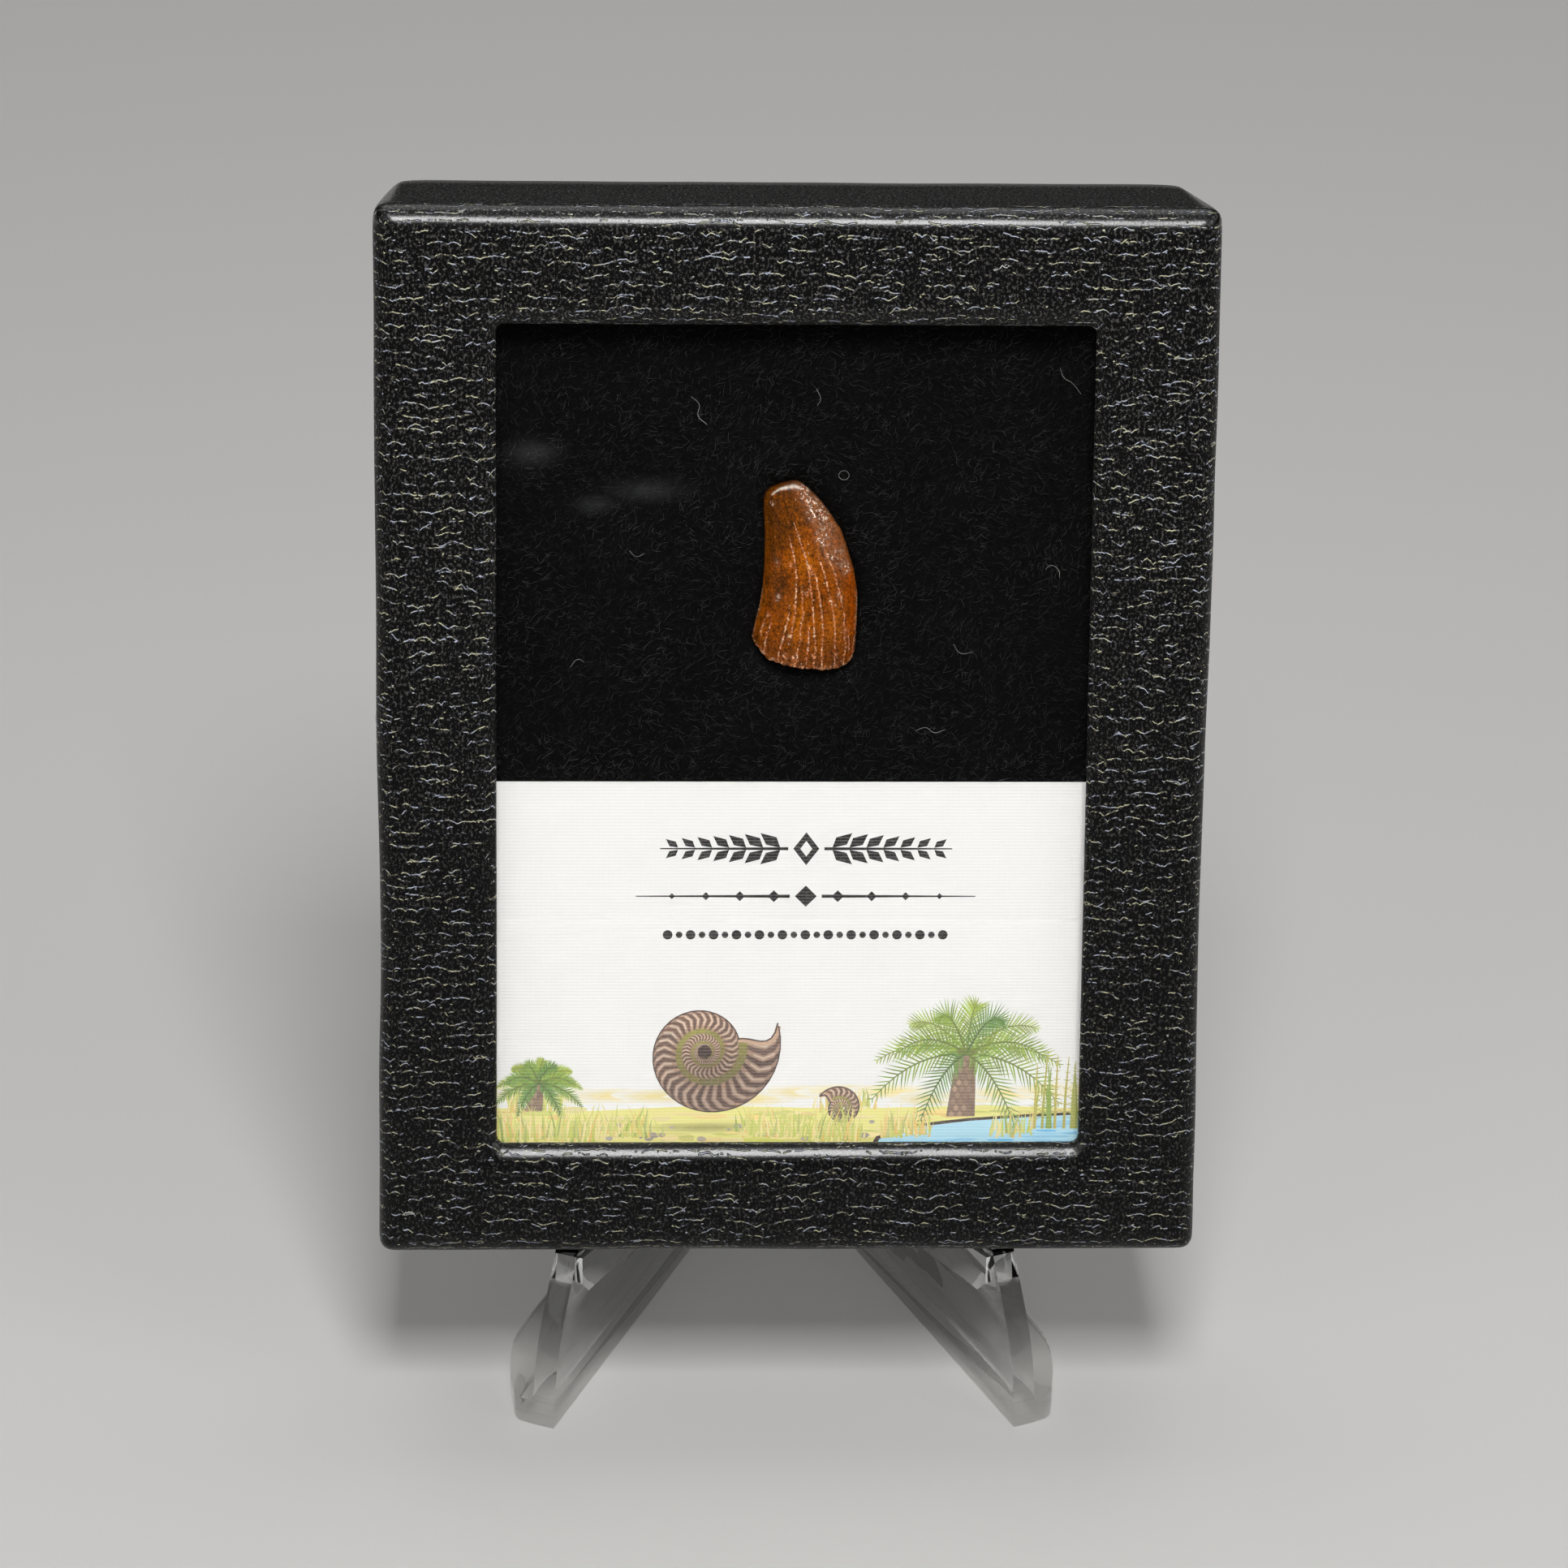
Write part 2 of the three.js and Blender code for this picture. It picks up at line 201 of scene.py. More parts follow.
class Graph:
    """Node tree of one finish, around one Principled shader."""

    def __init__(self, name: str) -> None:
        """Starts a material.

        Args:
            name: Name of the material.
        """
        self.material = bpy.data.materials.new(name)
        self.material.use_nodes = True
        self.tree = self.material.node_tree
        self.tree.nodes.clear()
        self.shader = self.node("ShaderNodeBsdfPrincipled")
        self.output = self.node("ShaderNodeOutputMaterial")
        self.tree.links.new(self.shader.outputs[0], self.output.inputs["Surface"])

    def node(self, kind: str, inputs: Inputs | None = None, **settings: object) -> bpy.types.Node:
        """Adds a node.

        Args:
            kind: Blender's name for the node.
            inputs: Values or sockets, by input name or number.
            **settings: Properties of the node.

        Returns:
            The node.
        """
        made = self.tree.nodes.new(kind)
        for key, value in settings.items():
            setattr(made, key, value)
        for key, value in (inputs or {}).items():
            self.feed(made.inputs[key], value)
        return made

    def feed(self, socket: Socket, value: Input) -> None:
        """Sets or links one input.

        Args:
            socket: The input.
            value: A number, a list of numbers, or the socket to link from.
        """
        if isinstance(value, Socket):
            self.tree.links.new(value, socket)
        elif socket.type == "RGBA" and len(value) == 3:
            socket.default_value = (*value, 1.0)
        else:
            socket.default_value = value

    def set(self, **inputs: Input) -> None:
        """Sets inputs of the shader, with _ for each space in their names."""
        for key, value in inputs.items():
            self.feed(self.shader.inputs[key.replace("_", " ")], value)

    def case_millimetres(self) -> Socket:
        """Position in the case's own millimetres.

        Returns:
            The position.
        """
        place = self.node("ShaderNodeTexCoord").outputs["Object"]
        back = Matrix.Rotation(PLACE.lean, 3, "X") @ (PLACE.foot() * -1 / MM)
        return self.mapped(place, (1 / MM,) * 3, (PLACE.lean, 0, 0), tuple(back))

    def millimetres(self) -> Socket:
        """Position in the frame, in millimetres."""
        return self.mapped(self.node("ShaderNodeTexCoord").outputs["Object"], (1 / MM,) * 3)

    def mapped(
        self, vector: Socket, scale: Triple, turn: Triple = (0, 0, 0), shift: Triple = (0, 0, 0)
    ) -> Socket:
        """Scales a position along each axis, then turns it about each, in radians, then shifts it."""
        inputs = {"Vector": vector, "Scale": scale, "Rotation": turn, "Location": shift}
        return self.node("ShaderNodeMapping", inputs).outputs[0]

    def apart(self, vector: Socket) -> list[Socket]:
        """The three numbers of a vector."""
        return list(self.node("ShaderNodeSeparateXYZ", {0: vector}).outputs)

    def math(self, operation: str, first: Input, second: Input = 0.0) -> Socket:
        """Result of one sum, under Blender's name for it, such as ADD."""
        return self.node("ShaderNodeMath", {0: first, 1: second}, operation=operation).outputs[0]

    def plus(self, *terms: Input) -> Socket:
        """Sum of some numbers."""
        return reduce(lambda first, second: self.math("ADD", first, second), terms)

    def times(self, *factors: Input) -> Socket:
        """Product of some numbers."""
        return reduce(lambda first, second: self.math("MULTIPLY", first, second), factors)

    def most(self, *values: Input) -> Socket:
        """Greatest of some numbers."""
        return reduce(lambda first, second: self.math("MAXIMUM", first, second), values)

    def step(self, value: Input, low: float, high: float, to: Point = (0.0, 1.0)) -> Socket:
        """Smooth step of a value, from the first of two results at low to the second at high."""
        inputs = {"Value": value, "From Min": low, "From Max": high, "To Min": to[0], "To Max": to[1]}
        return self.node("ShaderNodeMapRange", inputs, interpolation_type="SMOOTHSTEP").outputs[0]

    def noise(
        self, vector: Socket, scale: float | Triple, detail: float = 2.0, roughness: float = 0.5,
        shift: Triple = (0, 0, 0), output: str = "Fac",
    ) -> Socket:
        """Noise from 0 to 1.

        Args:
            vector: Where it is read.
            scale: Waves per unit, alike in all directions or one for each axis.
            detail: Finer layers.
            roughness: Strength of the finer layers.
            shift: Shift of the place where it is read, when each axis has its own scale.
            output: Fac for a number, Color for three.

        Returns:
            The noise.
        """
        if not isinstance(scale, float):
            vector, scale = self.mapped(vector, scale, shift=shift), 1.0
        inputs = {"Vector": vector, "Scale": scale, "Detail": detail, "Roughness": roughness}
        return self.node("ShaderNodeTexNoise", inputs).outputs[output]

    def warped(
        self, vector: Socket, scale: float | Triple, detail: float, roughness: float, reach: Triple
    ) -> Socket:
        """Pushes a position about by a coloured noise.

        Args:
            vector: The position.
            scale: Waves per unit of the noise.
            detail: Finer layers of the noise.
            roughness: Strength of the finer layers.
            reach: How far the whole span of the noise pushes along each axis.

        Returns:
            The new position.
        """
        colour = self.noise(vector, scale, detail, roughness, output="Color")
        centred = self.node("ShaderNodeVectorMath", {0: colour, 1: (-0.5,) * 3}, operation="ADD").outputs[0]
        inputs = {0: centred, 1: reach, 2: vector}
        return self.node("ShaderNodeVectorMath", inputs, operation="MULTIPLY_ADD").outputs[0]

    def mix(self, share: Input, first: Input, second: Input, mode: str = "MIX") -> Socket:
        """Mix of two colours, at a share of the second, in a mode under Blender's name for it."""
        made = self.node("ShaderNodeMix", {0: share, 6: first, 7: second}, data_type="RGBA", blend_type=mode)
        return made.outputs[2]

    def attribute(self, name: str, output: str = "Fac") -> Socket:
        """Attribute of the mesh, by name, read as a number, a Color or a Vector."""
        return self.node("ShaderNodeAttribute", attribute_name=name).outputs[output]

    def bump(self, height: Input, depth: float, normal: Socket | None = None) -> Socket:
        """Bumped normal.

        Args:
            height: Height from 0 to 1.
            depth: Millimetres that a height of 1 stands for.
            normal: Normal of a coarser bump below this one.

        Returns:
            The normal.
        """
        inputs = {"Height": height, "Strength": 1.0, "Distance": depth * MM}
        if normal is not None:
            inputs["Normal"] = normal
        return self.node("ShaderNodeBump", inputs).outputs[0]


# ---- finishes -------------------------------------------------------------------------------------------


@dataclass(frozen=True)
class CreaseRows:
    """Rows of arched creases in the covering, torn into short stretches. Millimetres."""

    pitch: float
    span: float
    arch: float
    cover: float
    seed: float

    def lines(self, graph: Graph, wrap: Socket) -> tuple[Socket, Socket]:
        """Builds the rows.

        Args:
            graph: The finish they belong to.
            wrap: The covering's map, in millimetres.

        Returns:
            The height over the nearest crease, in millimetres, and how clearly it shows, from 0 to 1.
        """
        across, up, _ = graph.apart(wrap)
        slow = graph.noise(wrap, (0.15, 0.09, 1), 1.0, shift=(self.seed, 3, 0))
        wave = graph.noise(wrap, (0.60, 0.20, 1), 1.0, shift=(9, self.seed, 0))
        level = graph.plus(graph.times(up, 1 / self.pitch), graph.times(slow, 1.9), graph.times(wave, 0.50))
        number = graph.math("ROUND", level)
        seeded = {"W": graph.plus(number, self.seed)}
        draw = graph.node("ShaderNodeTexWhiteNoise", seeded, noise_dimensions="1D").outputs["Value"]
        parts = {0: across, 1: graph.times(number, 7.31), 2: self.seed}
        strip = graph.node("ShaderNodeCombineXYZ", parts).outputs[0]
        stretch = graph.noise(strip, (0.40, 1, 1), 1.0)
        jag = graph.noise(strip, (3.6, 1, 1), 3.0, 0.65)
        drawn, drift = graph.times(draw, 11.0), graph.times(stretch, 2.2)
        turn = graph.plus(graph.times(across, 1 / self.span), drawn, drift)
        arch = graph.math("ABSOLUTE", graph.math("SINE", graph.times(turn, math.pi)))
        lift = graph.plus(graph.times(arch, self.arch), graph.times(jag, 0.24), -0.22)
        over = graph.math("SUBTRACT", graph.math("SUBTRACT", level, number), lift)
        torn = graph.noise(strip, (0.48, 1, 1), 2.0, 0.6, shift=(0, 40, 0))
        beads = graph.noise(strip, (2.2, 1, 1), 2.0, 0.6, shift=(0, 80, 0))
        shown = graph.step(torn, self.cover, self.cover + 0.05)
        return graph.times(over, self.pitch), graph.times(shown, graph.step(beads, 0.38, 0.60, (0.05, 1.0)))


@dataclass(frozen=True)
class LeatheretteFinish:
    """Black embossed covering paper: arched creases in rows across the case, painted glints over a fine grain.
    """

    ground: Colour = (0.0010, 0.0010, 0.0011)
    speck: Colour = (0.098, 0.094, 0.091)
    # Tints of the glints, which are painted highlights.
    warm_glint: Colour = (0.80, 0.78, 0.52)
    cool_glint: Colour = (0.64, 0.69, 0.84)
    crease_depth: float = 0.045
    grain_depth: float = 0.014
    polish: float = 0.8
    side_start: float = 40.3
    side_end: float = 41.0
    side_glint: float = 0.45
    wall_start: float = 1.7
    wall_end: float = 3.4
    top: float = 106.0
    rows: Sequence[CreaseRows] = (
        CreaseRows(1.30, 2.4, 0.20, 0.470, 1.7), CreaseRows(1.6, 1.6, 0.18, 0.530, 23.1),
    )

    def material(self) -> Material:
        """Builds the material on the piece's wrap map, in millimetres, with painted glints that fade on the
        walls.

        Returns:
            The material.
        """
        graph = Graph("leatherette")
        wrap = graph.node("ShaderNodeUVMap", uv_map="wrap").outputs[0]
        aside, deep, up = graph.apart(graph.case_millimetres())
        # Painted highlights: glints along the creases and scattered glint dots, laid into the base colour.
        painted_glints, furrows = [], []
        for rows in self.rows:
            over, shown = rows.lines(graph, wrap)
            away = graph.math("ABSOLUTE", over)
            painted_glints.append(graph.times(graph.step(away, 0.066, 0.026), shown))
            furrows.append(graph.times(graph.step(away, 0.16, 0.0), graph.step(shown, 0.0, 0.3)))
        painted_glint_dots = graph.step(graph.noise(wrap, (1.7, 3.1, 1), 1.0), 0.70, 0.77)
        beside = graph.step(
            graph.math("ABSOLUTE", aside), self.side_start, self.side_end, (0.0, self.side_glint)
        )
        kept = graph.most(graph.step(deep, self.wall_start, self.wall_end, (0.95, 0.10)), beside)
        # The painted glints fade on the walls and are painted brighter towards the top, where the lamp catches
        # them.
        painted_glint = graph.times(
            graph.most(*painted_glints, graph.times(painted_glint_dots, 0.85)), kept, graph.step(up, 0.0, self.top, (0.90, 1.35))
        )
        grain = graph.noise(wrap, (3.4, 2.5, 1), 2.0, 0.75)
        # Grain specks, partly painted sparkle, painted brighter towards the top.
        specks = graph.times(graph.step(grain, 0.525, 0.635), graph.step(up, 0.0, self.top, (0.55, 1.15)))
        tone = graph.noise(wrap, (0.8, 1.6, 1), 1.0)
        # Warm and cool tints of the painted glints, mixed by a noise.
        ridge = graph.mix(graph.step(tone, 0.42, 0.58), self.warm_glint, self.cool_glint)
        dulled = graph.step(deep, 1.6, 3.0, (1.0, 1.9))
        creased = graph.bump(graph.math("SUBTRACT", 1.0, graph.most(*furrows)), self.crease_depth)
        graph.set(
            Base_Color=graph.mix(painted_glint, graph.mix(specks, self.ground, self.speck), ridge),
            Roughness=graph.times(graph.step(grain, 0.3, 0.7, (0.45, 0.30)), dulled),
            Specular_IOR_Level=0.19,
            Coat_Weight=graph.attribute("rubbed"),
            Coat_Roughness=0.21,
            Normal=graph.bump(grain, self.grain_depth, creased),
            Coat_Normal=graph.bump(grain, self.polish * self.grain_depth, creased),
        )
        return graph.material


@dataclass(frozen=True)
class BoardFinish:
    """Matte black paper over board."""

    ground: Colour = (0.020, 0.020, 0.020)
    rubbed: Colour = (0.040, 0.038, 0.035)

    def material(self) -> Material:
        """Builds the material, in the case's millimetres.

        Returns:
            The material.
        """
        graph = Graph("tray_board")
        place = graph.case_millimetres()
        patches = graph.noise(place, 0.09, 4.0, 0.6)
        pulp = graph.noise(place, (2.6, 2.6, 5.72), 4.0, 0.65)
        graph.set(
            Base_Color=graph.mix(graph.step(patches, 0.42, 0.75), self.ground, self.rubbed),
            Roughness=graph.step(patches, 0.3, 0.7, (0.88, 0.7)),
            Normal=graph.bump(pulp, 0.03),
        )
        return graph.material


@dataclass(frozen=True)
class PaneFinish:
    """Clear pane with faint smears."""

    refraction: float = 1.5
    smear_roughness: float = 0.02

    def material(self) -> Material:
        """Builds the material, in the case's millimetres.

        Returns:
            The material.
        """
        graph = Graph("pane")
        place = graph.mapped(graph.case_millimetres(), (1, 1, 1.8), (0, 0.35, 0))
        smears = graph.noise(place, 0.055, 3.0, 0.55)
        graph.set(
            Base_Color=(1.0, 1.0, 1.0),
            Transmission_Weight=1.0,
            IOR=self.refraction,
            Roughness=graph.step(smears, 0.6, 0.85, (0.0, self.smear_roughness)),
        )
        return graph.material


@dataclass(frozen=True)
class FeltFinish:
    """Black felt, mottled where its nap lies differently, with an attribute for the shade of loose fibres."""

    deep: Colour = (0.0011, 0.0011, 0.0012)
    nap: Colour = (0.0065, 0.0063, 0.0063)
    pale: Colour = (0.17, 0.17, 0.172)

    def ground(self) -> Material:
        """Builds the felt's own material, in the case's millimetres.

        Returns:
            The material.
        """
        graph = Graph("felt_ground")
        place = graph.case_millimetres()
        warped = graph.warped(place, 1.1, 2.0, 0.5, (1.3, 0, 1.3))
        tangle = graph.noise(warped, (2.86, 0, 5.72), 4.0, 0.7)
        cloud = graph.noise(place, 0.14, 3.0, 0.55)
        lying = graph.times(graph.step(tangle, 0.42, 0.72), graph.step(cloud, 0.2, 0.75, (0.45, 1.0)))
        brushed = graph.times(graph.attribute("brushed"), tangle)
        graph.set(
            Base_Color=graph.mix(brushed, graph.mix(lying, self.deep, self.nap), self.pale),
            Roughness=1.0,
            Specular_IOR_Level=0.08,
            Normal=graph.bump(tangle, 0.16),
        )
        return graph.material

    def fibres(self, name: str) -> Material:
        """Builds the material of loose fibres, with their shade from an attribute.

        Args:
            name: Name of the material.

        Returns:
            The material.
        """
        graph = Graph(name)
        colour = graph.mix(graph.attribute("shade"), self.nap, self.pale)
        graph.set(Base_Color=colour, Roughness=0.8, Specular_IOR_Level=0.15)
        return graph.material


@dataclass(frozen=True)
class CardFinish:
    """White linen card, ribbed across, printed from its ink attribute."""

    rib_pitch: float = 0.33
    thread_pitch: float = 0.52
    rib_depth: float = 0.008
    one_band: float = 0.314

    def bands(self, graph: Graph, place: Socket, axis: str, pitch: float) -> Socket:
        """Soft bands that follow each other along an axis, X or Z, at a pitch."""
        inputs = {"Vector": place, "Scale": self.one_band / pitch, "Distortion": 0.0}
        return graph.node("ShaderNodeTexWave", inputs, bands_direction=axis).outputs["Fac"]

    def weave(self, graph: Graph, place: Socket) -> Socket:
        """Height of the pressed linen, from 0 to 1.

        Args:
            graph: The finish.
            place: Position in the case's millimetres.

        Returns:
            The height.
        """
        moved = graph.warped(place, (0.35, 1, 2.2), 3.0, 0.6, (0.22, 0, 0.09))
        ribs = graph.times(self.bands(graph, moved, "Z", self.rib_pitch), 0.90)
        return graph.plus(ribs, graph.times(self.bands(graph, moved, "X", self.thread_pitch), 0.10))

    def material(self) -> Material:
        """Builds the material, in the case's millimetres. Paper shows through ink on the ribs; painted shade
        between.

        Returns:
            The material.
        """
        graph = Graph("linen_card")
        place = graph.case_millimetres()
        weave = self.weave(graph, place)
        screen = graph.noise(place, 4.0, 2.0, 0.6)
        specks = graph.step(screen, 0.45, 0.7, (0.0, 0.06))
        bare = graph.plus(specks, graph.step(weave, 0.45, 0.85, (0.0, 0.08)))
        toned = graph.mix(bare, graph.attribute("ink", "Color"), Ink.PAPER.value)
        graph.set(
            # Painted shade: the hollows between the ribs are darkened in the base colour.
            Base_Color=graph.mix(graph.step(weave, 0.60, 0.10, (0.0, 0.04)), toned, (0.0, 0.0, 0.0)),
            Roughness=0.72,
            Specular_IOR_Level=0.3,
            Normal=graph.bump(weave, self.rib_depth),
        )
        return graph.material


@dataclass(frozen=True)
class EnamelFinish:
    """Mineralised enamel: amber stain, fine mottle, pale broken crests and pits, with painted sheen and
    highlights.

    Reads tint, crest, a mask of pits and painted sheen, gleam as a painted highlight, and strand along the
    growth.
    """

    crest: Colour = (0.70, 0.27, 0.11)
    # Bright beads on the crests, partly a painted highlight.
    crest_glint: Colour = (0.96, 0.76, 0.50)
    ash: Colour = (0.21, 0.10, 0.075)
    pit: Colour = (0.018, 0.005, 0.0006)
    # Pale flakes that are partly painted sparkle, a painted sheen haze, and the painted highlight at the tip.
    flake_and_sparkle: Colour = (0.94, 0.82, 0.68)
    sheen_haze: Colour = (0.36, 0.165, 0.090)
    painted_gleam: Colour = (0.94, 0.86, 0.76)
    glow: Colour = (0.36, 0.095, 0.0020)
    coat: float = 0.22
    clouding: float = 0.10
    cloud_reach: float = 0.4

    def body(self, graph: Graph, place: Socket, mottle: Socket, grain: Socket) -> Socket:
        """Builds the stain's colour below the crests, with a painted sheen haze over it.

        Args:
            graph: The finish.
            place: Position in the case's millimetres.
            mottle: Coarse noise.
            grain: Fine noise.

        Returns:
            The colour.
        """
        streak = graph.noise(graph.attribute("strand", "Vector"), (2.8, 0.50, 1), 4.0, 0.7)
        pitted = graph.attribute("pitted")
        colour = graph.mix(
            graph.step(streak, 0.50, 0.66, (0.0, 0.60)), graph.attribute("tint", "Color"), self.pit
        )
        colour = graph.mix(graph.step(streak, 0.46, 0.34, (0.0, 0.60)), colour, self.glow)
        colour = graph.mix(graph.step(mottle, 0.50, 0.68, (0.0, 0.50)), colour, self.pit)
        shade = graph.step(grain, 0.30, 0.72, (0.40, 1.70))
        tones = graph.node("ShaderNodeCombineColor", {0: shade, 1: shade, 2: shade}).outputs[0]
        colour = graph.mix(1.0, colour, tones, "MULTIPLY")
        # Painted sheen: a pale mauve haze over the sheen patches at the upper right.
        return graph.mix(graph.times(graph.step(mottle, 0.40, 0.62), pitted, 0.40), colour, self.sheen_haze)

    def material(self) -> Material:
        """Builds the material, in the case's millimetres.

        Returns:
            The material.
        """
        graph = Graph("fossil_enamel")
        place = graph.case_millimetres()
        pitted = graph.attribute("pitted")
        mottle = graph.noise(place, 1.7, 4.0, 0.7)
        grain = graph.noise(place, 4.0, 3.0, 0.72)
        broken = graph.noise(place, 3.2, 2.0, 0.7)
        sparse = graph.step(graph.noise(place, 3.1, 1.0), 0.765, 0.80, (0.0, 0.8))
        # Dense pale flecks in the sheen patches are painted sparkle; the sparse ones are pale flakes.
        dense = graph.times(graph.step(broken, 0.53, 0.62), graph.step(pitted, 0.15, 0.75))
        flaked_and_sparkling = graph.mix(graph.most(sparse, dense), self.body(graph, place, mottle, grain), self.flake_and_sparkle)
        line = graph.times(graph.attribute("crest"), graph.step(broken, 0.38, 0.52, (0.15, 1.25)))
        # Bright beads on the crests are partly painted highlights.
        edge = graph.mix(graph.step(broken, 0.55, 0.62), self.crest, self.crest_glint)
        edge = graph.mix(graph.step(grain, 0.50, 0.38, (0.0, 0.85)), edge, self.ash)
        rough = graph.times(grain, graph.plus(graph.times(pitted, 0.85), 0.15))
        normal = graph.bump(rough, 0.030, graph.bump(graph.noise(place, 1.3, 1.0), 0.04))
        graph.set(
            # The gleam attribute paints the highlight along the tip's rim.
            Base_Color=graph.mix(graph.attribute("gleam"), graph.mix(line, flaked_and_sparkling, edge), self.painted_gleam),
            Roughness=graph.step(mottle, 0.35, 0.65, (0.30, 0.45)),
            IOR=1.5,
            Specular_IOR_Level=0.09,
            Subsurface_Weight=self.clouding,
            Subsurface_Radius=(1.0, 0.30, 0.08),
            Subsurface_Scale=self.cloud_reach * MM,
            Coat_Weight=self.coat,
            Coat_Roughness=0.07,
            Normal=normal,
            Coat_Normal=normal,
        )
        return graph.material


@dataclass(frozen=True)
class SteelFinish:
    """Drawn pin steel, faintly scratched."""

    colour: Colour = (0.78, 0.77, 0.75)

    def material(self) -> Material:
        """Builds the material, in millimetres of the frame.

        Returns:
            The material.
        """
        graph = Graph("pin_steel")
        scratches = graph.noise(graph.millimetres(), (1.6, 9.6, 9.6), 3.0, 0.6)
        graph.set(
            Base_Color=self.colour,
            Metallic=1.0,
            Roughness=graph.step(scratches, 0.3, 0.75, (0.16, 0.34)),
            Normal=graph.bump(scratches, 0.006),
        )
        return graph.material


@dataclass(frozen=True)
class ClearFinish:
    """Clear moulded polystyrene, with slow flow waves in its skin."""

    colour: Colour = (0.985, 0.99, 0.99)
    refraction: float = 1.55
    passing: float = 0.8

    def material(self) -> Material:
        """Builds the material, in millimetres of the frame. Shadow rays pass most of it.

        Returns:
            The material.
        """
        graph = Graph("clear_plastic")
        place = graph.millimetres()
        flow = graph.noise(place, (0.16, 0.16, 0.096), 2.0, 0.5)
        scuffs = graph.noise(place, 0.22, 2.0, 0.6)
        graph.set(
            Base_Color=self.colour,
            Transmission_Weight=1.0,
            IOR=self.refraction,
            Roughness=graph.step(scuffs, 0.50, 0.75, (0.0, 0.035)),
            Normal=graph.bump(flow, 0.05),
        )
        open_way = graph.node("ShaderNodeBsdfTransparent").outputs[0]
        share = graph.times(graph.node("ShaderNodeLightPath").outputs["Is Shadow Ray"], self.passing)
        joined = graph.node("ShaderNodeMixShader", {0: share, 1: graph.shader.outputs[0], 2: open_way})
        graph.tree.links.new(joined.outputs[0], graph.output.inputs["Surface"])
        return graph.material


# ---- handing over ---------------------------------------------------------------------------------------


def mesh_of(bm: Shape, name: str, place: Matrix | None = None) -> Mesh:
    """Turns a bmesh into a smooth mesh with sharp creases, in the frame's metres.

    Args:
        bm: The shape, which is freed.
        name: Name of the mesh.
        place: Turn into the frame's metres, or None if the shape is in them already.

    Returns:
        The mesh.
    """
    if place is not None:
        bmesh.ops.transform(bm, matrix=place, verts=bm.verts)
    mesh = bpy.data.meshes.new(name)
    bm.to_mesh(mesh)
    bm.free()
    mesh.polygons.foreach_set("use_smooth", [True] * len(mesh.polygons))
    mesh.set_sharp_from_angle(angle=CREASE_ANGLE)
    return mesh


def hand_over(
    mesh: Mesh, material: Material, slot: Slot, replaces: Sequence[str] = ()
) -> Piece:
    """Puts a finished mesh into the scene as a piece of the display, under the mesh's name.

    Args:
        mesh: The mesh, in the frame's metres.
        material: Its finish.
        slot: Material slot of the record that it belongs to, only named in the log.
        replaces: Nodes of the frame that it stands for.

    Returns:
        The piece.
    """
    piece = bpy.data.objects.new(mesh.name, mesh)
    bpy.context.scene.collection.objects.link(piece)
    mesh.materials.append(material)
    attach(piece, BODY)
    if replaces:
        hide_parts(*replaces)
    log.info("%s: %d faces, %s", piece.name, len(mesh.polygons), slot.value)
    return piece


def copied_solid(name: str) -> Shape:
    """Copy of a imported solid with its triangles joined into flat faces, in metres.

    Args:
        name: Name of its node.

    Returns:
        The copy.
    """
    bm = bmesh.new()
    bm.from_mesh(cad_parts[name].data)
    bmesh.ops.remove_doubles(bm, verts=bm.verts, dist=0.002 * MM)
    bmesh.ops.dissolve_limit(bm, angle_limit=math.radians(0.5), verts=bm.verts, edges=bm.edges)
    return bm


def turned_edges(bm: Shape, least_angle: float) -> list[bmesh.types.BMEdge]:
    """Edges of a shape that turn by more than an angle in degrees."""
    limit = math.radians(least_angle)
    return [edge for edge in bm.edges if edge.is_manifold and edge.calc_face_angle(0.0) > limit]


def round_off(
    bm: Shape, edges: Sequence[bmesh.types.BMEdge], radius: float, segments: int, clamp_overlap: bool = True
) -> None:
    """Rounds some edges.

    Args:
        bm: The shape, changed in place.
        edges: The edges.
        radius: Rounding, in the shape's own unit.
        segments: Faces across the rounding.
        clamp_overlap: Whether the rounding stops where it would meet another.
    """
    bmesh.ops.bevel(
        bm, geom=edges, offset=radius, offset_type="OFFSET", segments=segments, profile=0.5,
        affect="EDGES", material=-1, clamp_overlap=clamp_overlap,
    )


def cut_across(bm: Shape, geom: Sequence[object], axis: int, where: float, dist: float) -> None:
    """Cuts part of a shape by the plane across an axis at a place.

    Args:
        bm: The shape, changed in place.
        geom: Its vertices, edges and faces that are cut.
        axis: Number of the axis.
        where: Place on the axis.
        dist: How near a vertex is taken to be on the plane.
    """
    point, normal = Vector((0, 0, 0)), Vector((0, 0, 0))
    point[axis], normal[axis] = where, 1
    bmesh.ops.bisect_plane(bm, geom=geom, dist=dist, plane_co=point, plane_no=normal)


def slice_evenly(bm: Shape, axis: int, low: float, high: float, pitch: float) -> None:
    """Cuts a shape by evenly spaced planes across one axis, so that it can bend.

    Args:
        bm: The shape, changed in place.
        axis: Number of the axis.
        low: Start of the stretch that is cut.
        high: End of the stretch.
        pitch: Distance between cuts, rounded to fit.
    """
    count = max(round((high - low) / pitch), 1)
    for index in range(1, count):
        cut_across(bm, [*bm.verts, *bm.edges, *bm.faces], axis, low + (high - low) * index / count, 0.01)


def close_back(bm: Shape, depth: float) -> None:
    """Draws the open rim of a sheet back to a depth and closes it there.

    Args:
        bm: The sheet, which becomes a closed block.
        depth: Place of the block's back.
    """
    rim = [edge for edge in bm.edges if edge.is_boundary]
    for item in bmesh.ops.extrude_edge_only(bm, edges=rim)["geom"]:
        if isinstance(item, bmesh.types.BMVert):
            item.co.y = depth
    bmesh.ops.contextual_create(bm, geom=[edge for edge in bm.edges if edge.is_boundary])
    bmesh.ops.recalc_face_normals(bm, faces=bm.faces)


# ---- case lid -------------------------------------------------------------------------------------------


